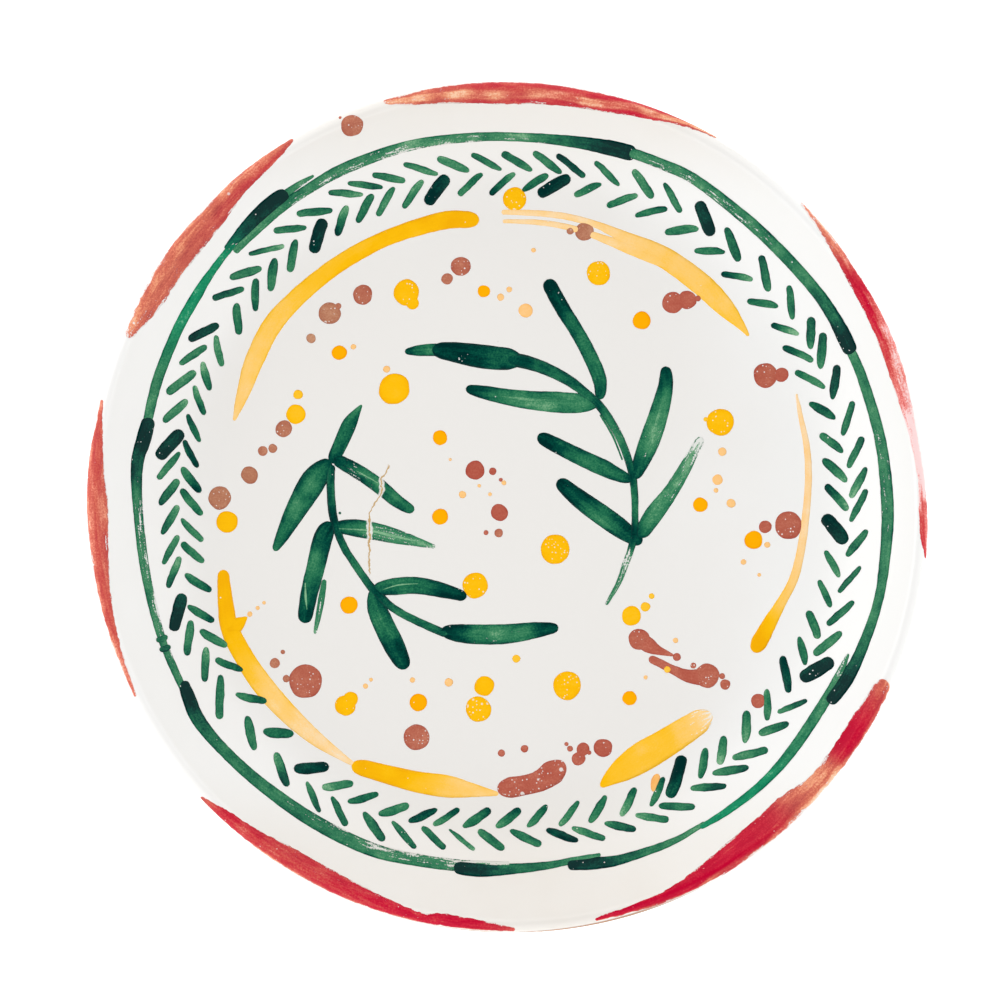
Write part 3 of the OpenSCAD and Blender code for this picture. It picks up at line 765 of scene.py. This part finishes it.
# %% Where the leaves start
OUTER_STARTS = (
    1.5, 6.5, 12, 18.3, 23.8, 27.5, 33.3, 39.5, 46.7, 53, 59.5, 64.8, 70.8, 76.8, 80.8, 85.8, 91, 96.5, 101.8,
    107.4, 111.3, 114.8, 120.5, 125.7, 130.5, 135.8, 140.3, 147.7, 151.8, 156.5, 161.5, 166.8, 170.5, 175.2,
    179.7, 184.9, 188.6, 194.9, 199.7, 204.9, 210.3, 218.7, 226.6, 233.8, 238.7, 244.7, 249.8, 255, 259.7,
    264.8, 270.4, 276.8, 281.3, 287, 292.5, 296.8, 303, 307.5, 311.8, 317.9, 322.7, 329.5, 334.2, 339.7,
    345.5, 351.7, 357.5,
)
INNER_STARTS = (
    -0.6, 4.2, 9.2, 15, 20.5, 25.5, 30.6, 36.5, 42.8, 49.5, 55.5, 61.8, 67.3, 73.8, 79.2, 83, 88.7, 94.3,
    100.2, 104.5, 109.5, 113.3, 118, 122.5, 128.3, 133, 137.7, 143, 149.5, 154.5, 158.8, 163.8, 168.3, 173,
    176.8, 182, 186.2, 191.7, 197.1, 201.8, 207.5, 214.5, 222.5, 230.7, 236.5, 241.5, 247.2, 252.5, 256.8,
    262, 267.9, 273.5, 279.2, 284.5, 290.1, 295.5, 299, 305.3, 309.4, 315.1, 320.5, 326.5, 332, 337, 342.7,
    348, 353.8,
)
DIPPED_OUTER = {
    53: 0.95, 76.8: 0.85, 147.7: 0.85, 166.8: 0.95, 194.9: 0.95, 276.8: 0.9, 329.5: 1.0, 18.3: 0.8,
}
DIPPED_INNER = {
    79.2: 0.95, 100.2: 0.95, 122.5: 1.0, 230.7: 0.92, 252.5: 0.75, 299: 0.95, 353.8: 0.95, 15: 0.6,
    168.3: 0.8, 222.5: 0.6, 326.5: 0.8,
}
PRESSED = {130.5: 1.9, 259.7: 1.6, 322.7: 2.0, 345.5: 2.0, 214.5: 2.6, 222.5: 3.4, 230.7: 3.8}
LONG = {299: 2.0, 326.5: 1.2, 210.3: 2.6, 230.7: 1.0}
BORDER_RADII = [
    (0, 113), (30, 112.5), (45, 111), (60, 112.5), (90, 111), (120, 113.5), (150, 112.5), (180, 108.5),
    (190, 109.2), (197, 111.2), (205, 109.5), (210, 109.5), (222, 110.2), (231, 112.2), (240, 111.5),
    (270, 106.5), (300, 110.5), (330, 112), (360, 113),
]


# %% Leaf border
def border_radius(angle):
    angle %= 360
    for (a, r), (b, s) in zip(BORDER_RADII, BORDER_RADII[1:]):
        if angle <= b:
            return r + (s - r) * smooth_step(angle, a, b)


def leaf_row(name, starts, dipped, first, last, turn, chance):
    """A leaf runs from first to last mm off the row, while it turns that many degrees."""
    bm = bmesh.new()
    for start in starts:
        r = border_radius(start)
        load = dipped.get(start, 0.43 + chance.uniform(-0.1, 0.16))
        full = load >= 0.95
        width = PRESSED.get(start, 2.6 + chance.uniform(-0.4, 0.5)) + (1.8 if full else 0.0)
        turn_here = turn * (chance.uniform(0.9, 1.08) + 0.1 * full) + LONG.get(start, 0.0) * 0.6
        tip = r + last * (chance.uniform(0.92, 1.08) + 0.1 * full) + math.copysign(LONG.get(start, 0.0), last)
        near, far, lean = chance.uniform(0.4, 0.85), chance.uniform(0.5, 1.0), chance.uniform(-0.34, 0.12)
        near, far = (0.85, 0.9) if full else (near, far)
        leaf = [
            (start, r + first, width * near, load + lean),
            (start + turn_here * 0.33, r + first + (tip - r - first) * 0.3, width, load + lean / 2),
            (start + turn_here * 0.7, r + first + (tip - r - first) * 0.7, width * 0.95, load - lean / 2),
            (start + turn_here, tip, width * far, load - lean),
        ]
        taper = 1.1 if full else 1.5
        brush(bm, round_the_plate(leaf), across=6, pace=1.1, ragged=0.16, over=0.05, taper=taper)
    lay(name, bm, green)


leaf_row("outer_leaf_row", OUTER_STARTS, DIPPED_OUTER, 0.5, 6.2, 5.0, random.Random(3))
leaf_row("inner_leaf_row", INNER_STARTS, DIPPED_INNER, -0.5, -7.0, 4.4, random.Random(5))

# %% [markdown]
# ## The two sprigs
# Each sprig is a stem pulled in one go and eight or seven leaves pressed out from it with
# the belly of the brush. Where leaf and stem were both wet the colour pooled almost
# black, and the longest leaves ran dry along their middle. Where the hairs of the brush
# parted a pale line was left in the leaf. Knots are now x, y, width, load, dryness, tint.

# %% Left sprig
LEFT_STEM = [
    (-58.4, 14, 2.8, 0.8), (-58.5, 5, 2.7, 0.6), (-57.5, -4, 2.8, 0.85), (-54.5, -12.5, 2.5, 0.55),
    (-50.5, -19, 2.5, 0.5), (-46, -25.5, 2.6, 0.6), (-43, -28.7, 3, 0.9), (-38, -33.4, 2.6, 0.6),
    (-30, -37.8, 2.6, 0.5), (-20, -42.2, 2.8, 0.7),
]
LEFT_PARTINGS = [
    [(-55.3, 14.6, 0.3, 0.1), (-49, 11.4, 1, 0, 0.2), (-42.8, 7.9, 0.4, 0.1)],
    [(-56, -7.2, 0.3, 0.1), (-46, -7.8, 0.9, 0, 0.2), (-38, -9.6, 1.1, 0, 0.3), (-29, -11.6, 0.4, 0.1)],
    [(-41.4, -27.4, 0.3, 0.1), (-36, -25.8, 0.8, 0, 0.2), (-29.6, -25.4, 0.3, 0.1)],
    [(-67, -25, 0.3, 0.1), (-66.8, -30, 0.9, 0, 0.3), (-66.4, -34, 0.3, 0.1)],
]
LEFT_LEAVES = [
    [(-48.3, 33.8, 0.7, 0.5), (-52, 28, 4.6, 0.6), (-55, 21.5, 4.8, 0.7), (-58.2, 14.5, 4, 0.9)],
    [(-58.8, 15.5, 4, 0.9), (-64, 9, 8.4, 0.62), (-70, -1, 7, 0.55), (-74.5, -9.5, 4.4, 0.6),
     (-77.2, -14.5, 2, 0.6)],
    [(-57.4, 16, 4, 0.95), (-50, 12, 4.8, 0.65, 0.35), (-42, 6.5, 4.9, 0.55, 0.1), (-36, 1.5, 4.2, 0.6),
     (-31, -1.3, 3, 0.7)],
    [(-58.4, -5, 4.4, 0.95), (-61, -10, 6.4, 0.75), (-63.5, -20, 6.1, 0.55), (-65.5, -28, 5.8, 0.75),
     (-67.4, -38.4, 4.8, 0.9)],
    [(-57.4, -6.5, 3.8, 0.95), (-50, -7, 5.8, 0.55, 0.1), (-42, -8.5, 5.6, 0.4, 0.45),
     (-34, -10.5, 4.2, 0.36, 0.35), (-24, -13.2, 1.2, 0.34, 0.6)],
    [(-44.6, -27.6, 3.8, 0.9), (-38, -26.4, 5.6, 0.6), (-30, -26, 5.6, 0.6), (-22, -27.5, 5, 0.85),
     (-13.6, -29.8, 3.2, 1.1)],
    [(-45.2, -27.6, 2, 0.9), (-43.4, -33.5, 6.2, 0.6), (-40, -41, 7, 0.65), (-37, -47, 6.8, 0.9),
     (-33.6, -53.6, 5, 1)],
    [(-22, -41, 4, 1), (-16, -41.8, 6, 0.85), (-9, -42.2, 6.6, 0.5, 0.1), (0, -42, 6.5, 0.44, 0.15),
     (10, -40.7, 5.2, 0.75), (16.8, -39.9, 3, 0.95)],
]


def press_leaves(bm, leaves):
    for i, leaf in enumerate(leaves):
        brush(bm, leaf, across=10, over=0.02 * (i % 3), stripe=(0.3 * (i % 3 - 1), 0.7, -0.16, 0))


def part_hairs(bm, partings):
    for parting in partings:
        brush(bm, parting, across=4, over=0.09)


bm = bmesh.new()
brush(bm, LEFT_STEM, across=4, over=0.05)
lay("left_sprig_stem", bm, green)
bm = bmesh.new()
press_leaves(bm, LEFT_LEAVES)
stray_hairs = [
    (-60.6, -24, 1.6, 0.4, 0.2), (-61.7, -31, 2.2, 0.34, 0.3), (-62.8, -37, 1.8, 0.34, 0.4),
    (-63.8, -42, 1, 0.3, 0.6),
]
brush(bm, stray_hairs, across=4)
part_hairs(bm, LEFT_PARTINGS)
drop(bm, -55.5, -2, 0.9, 0.8)
lay("left_sprig_leaves", bm, green)

# %% Right sprig
RIGHT_STEM = [
    (0, 48.9, 4.6, 0.75), (5, 48.2, 4.6, 0.8), (12, 46, 4.2, 0.6), (20, 42, 3.6, 0.6), (26, 37.5, 3, 0.6),
    (30, 34, 2.9, 0.75), (34, 28.5, 2.8, 0.5, 0.3), (38, 21, 2.6, 0.45, 0.3), (41, 12, 2.5, 0.75),
    (42, 5, 2.4, 0.55), (42.2, -2, 2.2, 0.5), (42, -9, 2.6, 0.95), (40.5, -15, 2.2, 0.4, 0.4),
    (39, -19, 2.2, 0.34, 0.7), (36.8, -25, 1.7, 0.34, 0.5), (32.6, -32.4, 1, 0.4, 0.4),
]
RIGHT_PARTINGS = [
    [(51.4, 36, 0.4, 0.3), (49.6, 29, 1.3, 0.15, 0.1), (46.8, 22, 0.4, 0.3)],
    [(-2, 36.6, 0.4, 0.3), (6, 35.6, 1.1, 0.15, 0.1), (17, 35.4, 0.5, 0.3)],
]
RIGHT_LEAVES = [
    [(-34, 51.4, 2, 0.75), (-29, 51.8, 3.6, 0.65), (-25, 52, 4.2, 0.6), (-20, 52, 3.6, 0.7)],
    [(-25, 52.1, 4.6, 1), (-18, 51.3, 6.6, 1), (-10, 50, 7.8, 0.9), (-4, 49.3, 7.8, 0.72),
     (1.5, 48.8, 7, 0.7), (5, 48, 4.4, 0.7)],
    [(13, 75.2, 4.8, 1.1), (18, 66, 4.9, 0.88), (23, 58, 4.7, 0.62), (27.3, 50, 4.8, 0.55),
     (30.5, 42, 4.6, 0.65), (30.6, 35.6, 3, 0.8)],
    [(-13.8, 39.2, 2.6, 1), (-8, 38, 4.4, 0.8), (0, 36.4, 5.4, 0.46), (8, 35.3, 6.2, 0.4),
     (17, 34.6, 7, 0.36), (25, 34.3, 6, 0.4), (30, 34, 2.8, 0.7)],
    [(10, 23.6, 4.2, 1.1), (16, 20.5, 5, 0.85), (24, 16.5, 5.4, 0.6), (32, 12.8, 5.5, 0.6), (38, 10, 4, 0.7),
     (41.6, 9, 2.4, 0.9)],
    [(52.3, 46.5, 3.4, 0.95), (52.3, 40, 5, 0.65), (49.8, 30, 6.4, 0.4, 0.1), (46.3, 20, 6.6, 0.42, 0.15),
     (41.8, 9.4, 3.8, 0.9)],
    [(16.6, 8.8, 4.4, 1.1), (24, 2.5, 6.2, 0.88), (31, -2.5, 6.8, 0.6), (38, -7.5, 6.4, 0.75),
     (44.4, -12, 3.8, 1)],
    [(64.3, 23, 3, 0.4, 0.9), (62, 19, 3.2, 0.32, 0.75), (58.5, 12.5, 4.2, 0.32, 0.4),
     (54, 5, 4.9, 0.36, 0.25), (48, -3, 6, 0.46, 0.15), (43.6, -10, 4.4, 0.9)],
]
bm = bmesh.new()
brush(bm, RIGHT_STEM, across=5, over=0.05)
brush(bm, [(30.6, 30.6, 0.6, 0.5), (34.8, 23.5, 0.7, 0.45), (38, 15.5, 0.5, 0.5)], across=3)
lay("right_sprig_stem", bm, green)
bm = bmesh.new()
press_leaves(bm, RIGHT_LEAVES)
part_hairs(bm, RIGHT_PARTINGS)
lay("right_sprig_leaves", bm, green)

# %% [markdown]
# ## Yellow sweeps
# Six broad pulls of yellow swing round the edge of the well, loaded at one end and nearly
# clear water at the other. One was pulled with a split brush and leaves two strands.

# %% Six sweeps
SWEEPS = {
    "upper_left": [[
        (-9.4, 95, 4.6, 0.9), (-13, 95.1, 5.6, 0.95), (-20, 95, 6, 0.9), (-30, 92.5, 5.6, 0.8),
        (-40, 89, 5.2, 0.75), (-50, 84, 5.5, 0.7), (-60, 77.5, 5.6, 0.65), (-70, 69, 6, 0.45),
        (-78, 60, 6.5, 0.36), (-84, 48, 6.2, 0.32, 0.05), (-87.4, 38, 4.4, 0.3, 0.05, 0.2),
        (-90.6, 28.6, 1, 0.34, 0.1, 0.3)]],
    "upper_right": [
        [(-2, 97.6, 1.6, 0.2, 0, 0.6), (10, 97.2, 2, 0.2, 0, 0.6), (20, 96, 2.2, 0.2, 0, 0.6),
         (30, 93.2, 2.4, 0.25, 0, 0.5), (40, 88.6, 4.4, 0.3, 0, 0.3), (48, 84.6, 6.6, 0.33, 0, 0.2),
         (55, 80.6, 7.2, 0.36, 0, 0.2), (65, 73, 7.4, 0.36, 0, 0.1), (72, 66, 6.2, 0.38), (77, 60.4, 3, 0.42),
         (79.8, 56.6, 0.9, 0.45)],
        [(-1.6, 94.6, 1.2, 0.2, 0, 0.6), (10, 94.2, 1.8, 0.2, 0.2, 0.6), (20, 92.6, 2, 0.2, 0.2, 0.6),
         (30, 89.4, 2.4, 0.25, 0.1, 0.4), (40, 85.6, 3.6, 0.3, 0, 0.3), (47, 82.6, 3.4, 0.33, 0, 0.2),
         (53, 79.6, 2, 0.36, 0, 0.2)],
    ],
    "right": [[
        (81.4, -48, 4.2, 0.9), (83.4, -44.6, 5.4, 0.95), (87, -38, 4.6, 0.7), (91, -31, 3.3, 0.4, 0, 0.1),
        (95, -23, 3, 0.3, 0, 0.4), (97.5, -12, 2.7, 0.25, 0, 0.7), (99, 0, 2.4, 0.25, 0, 0.8),
        (99.6, 10, 2.3, 0.25, 0, 0.8), (99, 20, 2.1, 0.25, 0, 0.8), (97, 30, 1.6, 0.25, 0, 0.8),
        (95.6, 37.4, 0.7, 0.25, 0, 0.8)]],
    "lower_right": [[
        (30.8, -92.6, 1.6, 0.7), (34, -89.8, 5, 0.62), (38, -87, 8, 0.58), (44.5, -82.8, 10, 0.54),
        (52, -78.4, 9.6, 0.52), (58, -74.6, 9, 0.36, 0.1), (62, -72, 8.4, 0.22, 0.35),
        (65, -70, 8, 0.18, 0.5), (67.6, -68.6, 7, 0.15, 0.75)]],
    "bottom": [[
        (-51.6, -85.6, 4.6, 0.85), (-47, -86.6, 5.6, 0.9), (-40, -88.5, 6.2, 0.85), (-30, -91, 7, 0.7),
        (-20, -92.5, 7.4, 0.4, 0, 0.1), (-12, -93.7, 4.8, 0.33, 0, 0.2), (-3, -95, 1.2, 0.3, 0, 0.3)]],
    "left": [
        [(-94.2, -20.8, 3.6, 0.9), (-93.5, -30, 5, 0.9), (-92, -40, 6, 0.85), (-87, -50, 6.5, 0.6),
         (-81, -59, 7, 0.32), (-73, -68, 6.5, 0.22, 0, 0.1), (-63, -77, 4.8, 0.18, 0.15, 0.4),
         (-51, -85.2, 1.4, 0.15, 0.4, 0.5)],
        [(-92.8, -41, 5, 0.9), (-90.4, -39.6, 5.4, 0.85), (-88.2, -38, 3.6, 0.8), (-86.2, -36.4, 0.5, 0.7)],
    ],
}
for side, strands in SWEEPS.items():
    bm = bmesh.new()
    for strand in strands:
        brush(bm, strand, across=8, pace=1.1)
    lay("yellow_sweep_" + side, bm, yellow)

# %% [markdown]
# ## Red strokes on the lip
# Six strokes of iron red follow the lip and spill over its edge. Each swells and thins as
# the wheel of the hand turned, crimson where thick and salmon or coral where thin. Most
# have a stripe where the brush carried less. Each entry gives the gas in the glaze, that
# stripe and the knots, by angle and radius. `SPILL` widens them outwards over the edge.

# %% Six red strokes
LIP_STROKES = {
    "right": (0, (-0.8, 1.0, -0.4, 0), [
        (353, 139.4, 0.6, 0.5), (354, 138.8, 1.4, 0.55), (357, 137.4, 2.6, 0.6), (360, 136.9, 2.2, 0.4),
        (364, 136.5, 1.5, 0.04), (370, 135.7, 2.1, -0.05), (375, 135.3, 3.7, 0.2),
        (380, 135.7, 5, 0.45, 0, 0.1), (385, 136.2, 5, 0.6), (390, 136.4, 4.6, 0.85),
        (394, 136.7, 3.8, 0.85, 0, 0.2), (400, 138.2, 2.6, 0.5, 0.3, 0.8), (406, 139.8, 1.4, 0.4, 0.7, 0.8)]),
    "top": (0, (0.1, 0.6, -0.5, 0.8), [
        (60.5, 140.4, 0.8, 0.6, 0.1, 1), (65, 139.6, 2.2, 0.7, 0.1, 0.6), (70, 138.4, 4.2, 0.8, 0, 0.1),
        (75, 137.2, 5.6, 0.75, 0, 0.1), (80, 136.7, 6.2, 0.72, 0, 0.2), (85, 136.6, 6.6, 0.7, 0, 0.3),
        (90, 136.5, 7.2, 0.7, 0, 0.3), (95, 137, 6.8, 0.7, 0, 0.4), (100, 137.6, 5.2, 0.6, 0.2, 0.8),
        (104, 138.3, 3.2, 0.5, 0.4, 0.9), (107, 139.6, 1, 0.5, 0.5, 0.9)]),
    "upper_left": (1.15, (-0.7, 1.0, -0.2, 0.4), [
        (120.3, 140.4, 0.8, 0.7, 0, 0.9), (125, 138.8, 4.2, 0.7, 0, 0.5), (130, 137.9, 5.7, 0.7, 0, 0.5),
        (135, 136.4, 7.6, 0.7, 0, 0.6), (140, 136, 8.4, 0.68, 0, 0.8), (145, 136, 8.1, 0.64, 0.1, 0.9),
        (150, 135.6, 7.1, 0.6, 0.2, 0.9), (153, 136, 5, 0.55, 0.3, 0.9), (156, 137.1, 2.2, 0.5, 0.5, 0.9)]),
    "left": (0, (-0.9, 0.5, -0.3, 0), [
        (165.2, 138.3, 0.5, 0.6, 0, 0.6), (168, 137.5, 1.3, 0.6, 0, 0.6), (170, 137, 2.6, 0.6, 0, 0.6),
        (173, 136.7, 4.6, 0.6, 0, 0.6), (177, 136, 6.6, 0.56, 0, 0.6), (180, 135.4, 7.4, 0.52, 0, 0.7),
        (185, 135.1, 5.9, 0.56, 0, 0.6), (190, 135.5, 4.4, 0.58, 0, 0.6), (195, 136.2, 2.9, 0.55, 0, 0.6),
        (200, 136.7, 1.6, 0.5, 0.2, 0.6), (207, 137.6, 0.5, 0.45, 0.4, 0.6)]),
    "lower_left": (0, (-1.0, 0.28, -0.3, 0.8), [
        (223.4, 139.4, 0.8, 0.6, 0, 0.9), (227, 138.1, 3.1, 0.75, 0, 0.2), (232, 137.1, 4.8, 0.68, 0, 0.2),
        (237, 136.3, 6.6, 0.66, 0, 0.3), (243, 136.2, 6.9, 0.68, 0, 0.2), (248, 136.7, 6.1, 0.72, 0, 0.1),
        (253, 137.4, 4.8, 0.76), (258, 138.4, 2.8, 0.8), (261, 137.7, 3.8, 0.85), (266, 138.1, 2.8, 0.9),
        (271, 139.3, 0.8, 0.7, 0, 0.4)]),
    "lower_right": (0, (-0.95, 0.4, -0.5, 0.9), [
        (282, 139, 0.6, 0.8), (287, 138.5, 1.8, 1), (292, 138.5, 3.1, 0.95), (297, 137.5, 5.2, 0.95),
        (302, 136.5, 7.6, 0.95), (308, 135.8, 8.4, 0.9, 0, 0.1), (311, 135.5, 8.8, 0.85, 0, 0.3),
        (314, 135.6, 8.2, 0.65, 0, 0.8), (317.5, 136.5, 6.4, 0.42, 0.1, 1), (321, 136.5, 6.2, 0.5, 0.1, 0.9),
        (323.5, 136.5, 6.4, 0.9, 0, 0.1), (328, 136.4, 6.6, 0.95), (332, 136.6, 5.8, 0.75, 0.1, 0.4),
        (335.4, 137, 4.8, 0.6, 0.25, 1)]),
}
SPILL = 0.6
for side, (gas, stripe, load) in LIP_STROKES.items():
    bm = bmesh.new()
    over_the_edge = [(angle, r + SPILL / 2, width + SPILL, *how) for angle, r, width, *how in load]
    brush(bm, round_the_plate(over_the_edge), across=14, ragged=0.35, blunt=0.15, gas=gas, stripe=stripe)
    lay("red_stroke_" + side, bm, red)

# %% [markdown]
# ## Drops and splashes
# Last came the drops, flicked from the brush over the middle. Each is given by place and
# width, and some by how thick or how tan they fell. The two splashes ran before they set.

# %% Thrown drops
YELLOW_DROPS = [
    (-33.5, 71, 8.5, 0.75, 0, 1.2), (-31.4, 67.4, 4.2, 0.75), (-37.5, 39, 10.4, 0.75),
    (-69.4, 37.2, 3.2, 0.6), (-70, 30.7, 6.5, 0.7), (-92.9, -5, 7, 0.8), (2.3, 102, 7.7, 0.75, 0, 1.4),
    (30.2, 77.3, 7.8, 0.7, 0, 1), (70.3, 28, 9, 0.75, 0, 0.7), (65.6, 29, 1.5, 0.5),
    (15.9, -14, 9.7, 0.75, 0, 0.8), (-10.6, -26, 8.5, 0.75, 0, 0.9), (-53.8, -65.8, 6.8, 0.75, 0, 0.9),
    (-52, -63.6, 5, 0.75), (-7.7, -59.3, 6.6, 0.75), (-9.6, -67, 8.4, 0.75, 0, 1.9),
    (19.7, -59.2, 9, 0.75, 0, 1.8), (2.9, -50.2, 2.7, 0.5), (41, -36, 6.5, 0.7), (45.6, -33, 3.2, 0.6),
    (47.7, -29.5, 1.9, 0.5),
]
AMBER_DROPS = [
    (-55.7, 51, 4.9), (-22.4, 22.9, 4.9), (-22.3, -3.3, 5.2), (-52.5, -32.5, 5.8), (-7.8, 71.4, 4.1),
    (44.4, 61.8, 5.9), (63.8, 0.8, 5), (81.5, -10.9, 6.1), (-29.5, -64.8, 5.7), (40.3, -63.3, 4.8),
]
PEACH_DROPS = [
    (6, 65, 4.6), (-2.3, 69.4, 2.4), (0.6, 72, 1.9), (8.6, 85, 1.6), (-51, 53, 1.8), (-40, 45.6, 2.4),
    (-14.9, 4.1, 2.4), (-1.2, 8, 1.6), (-5.8, 4.2, 1.3), (-9.4, 7, 1.2), (-19, 15.7, 1), (71, 18.3, 2.8),
    (69.5, 9, 3.5), (69, 5.5, 1.6), (74, 1.2, 3), (86, -12.5, 2), (78.1, -18.2, 1.9), (83.3, -22.5, 1.3),
    (55.6, -44.2, 1.8), (45.7, -56.4, 1.4), (-31.5, -57.3, 1.8), (-19.5, -58, 2.8), (-47, -59.3, 1.8),
    (-45.2, -57.2, 1.3), (-85.3, -35.5, 1.8), (-82.7, -33.4, 1.4), (-80.6, -31.7, 1.2),
]
TERRACOTTA_DROPS = [
    (-59, 64, 7.3, 0.5, 0.9, 1.4), (-56, 66.5, 2, 0.5, 0.6), (-48, 70.2, 6.4, 0.5, 0.4, 0.9),
    (-65, 55.8, 3.1, 0.4, 1), (-74, 25.9, 5.6, 0.5, 0.7, 0.8), (-81, 18.5, 3.3, 0.5, 0.7),
    (-77.8, 19.4, 3, 0.5, 0.7), (-85.4, 10.5, 5.7, 0.5, 0.9), (-95.3, 3, 7.8, 0.5, 0.9, 0.8),
    (-15.5, 79.6, 6.6, 0.5, 0.3, 0.9), (-20, 75.5, 3.8, 0.5, 0.5), (25.5, 91.3, 6.2, 0.45, 0.8),
    (20.8, 91.5, 2.6, 0.4, 0.8), (54.7, 67.5, 7.2, 0.5, 0, 0.7), (59.5, 68.5, 6, 0.5), (63, 69, 2, 0.5),
    (85.3, 43.7, 8.2, 0.5, 0.1, 1), (90.7, 43.7, 4.6, 0.5), (93, -6, 9, 0.5, 0.1, 0.8),
    (85.3, -6.6, 4.2, 0.5), (104.8, -4.8, 2, 0.5), (-10.8, 12.2, 6.2, 0.6), (-4.9, 11.8, 2.5, 0.6),
    (-2.2, 9, 1.3, 0.5), (-2.7, -1.8, 5.6, 0.57), (-3, -8.6, 2.9, 0.5, 0.4), (-7.1, -8.5, 1.7, 0.5),
    (-66.9, -57.6, 11, 0.5, 0.2, 1), (-77, -51.7, 3.4, 0.45, 0.6), (-74.4, -48, 1.5, 0.5, 0.6),
    (-73.2, -56.8, 2.4, 0.5, 0.6), (-30, -76.3, 8.6, 0.5, 0.2, 1), (-2, -81.5, 2.4, 0.45),
    (5.6, -80, 2.5, 0.45), (19.5, -78.5, 1.4, 0.5), (20.7, -80, 2, 0.5), (25, -80.2, 4.2, 0.5),
    (27, -81.3, 1.5, 0.5), (23.5, -83.3, 4.6, 0.5), (31.6, -79.8, 6.4, 0.5, 0, 0.8), (56, -49.7, 2.7, 0.5),
    (83, -64.2, 4.7, 0.5), (-51.4, 125.9, 7.5, 0.5, 0.4, 0.8), (-55.3, 128.6, 1, 0.5),
]
for colour, drops, pigment, load in (
    ("yellow", YELLOW_DROPS, yellow, 0.75),
    ("amber", AMBER_DROPS, amber, 0.6),
    ("peach", PEACH_DROPS, peach, 0.5),
    ("terracotta", TERRACOTTA_DROPS, terracotta, 0.5),
):
    bm = bmesh.new()
    for x, y, size, *how in drops:
        drop(bm, x, y, size, *(how or [load]))
    if colour == "yellow":
        drop(bm, 52.9, -53.8, 2.2, 0.45, over=0.14)
    if colour == "peach":
        brush(bm, [(49.8, -88.4, 2, 0.7), (48.8, -91, 2.8, 0.8), (48.2, -94.2, 1.4, 0.8)])
    lay(colour + "_drops", bm, pigment)

# %% Splashes
bm = bmesh.new()
drop(bm, 43.6, -43.8, 7, 0.5, 0.1, 0.9)
brush(bm, [(43.4, -43.4, 5.6, 0.55), (47, -46, 5, 0.5), (50, -47.5, 3, 0.5), (55, -49.2, 0.8, 0.45)])
second_run = [
    (46.8, -50, 2.6, 0.5), (51, -52, 2.8, 0.5), (55, -54, 3, 0.5), (60, -56, 4.4, 0.5), (66, -56.4, 6.4, 0.5),
]
brush(bm, second_run, over=0.02)
for x, y, size in ((66, -55.7, 8.2), (71, -56, 2), (72, -58.7, 3.4), (61.5, -52.5, 2)):
    drop(bm, x, y, size, 0.5, 0.1, gas=1.1, over=0.03)
lay("terracotta_splash_right", bm, terracotta)
bm = bmesh.new()
splash = [
    (-3.4, -93.4, 5.6, 0.5), (0, -93, 7, 0.5), (6, -92, 6.6, 0.5), (11, -90.5, 7.2, 0.5), (16, -87, 8.4, 0.5),
    (18.6, -84.4, 6, 0.5),
]
brush(bm, splash, gas=2.2)
lay("terracotta_splash_bottom", bm, terracotta)
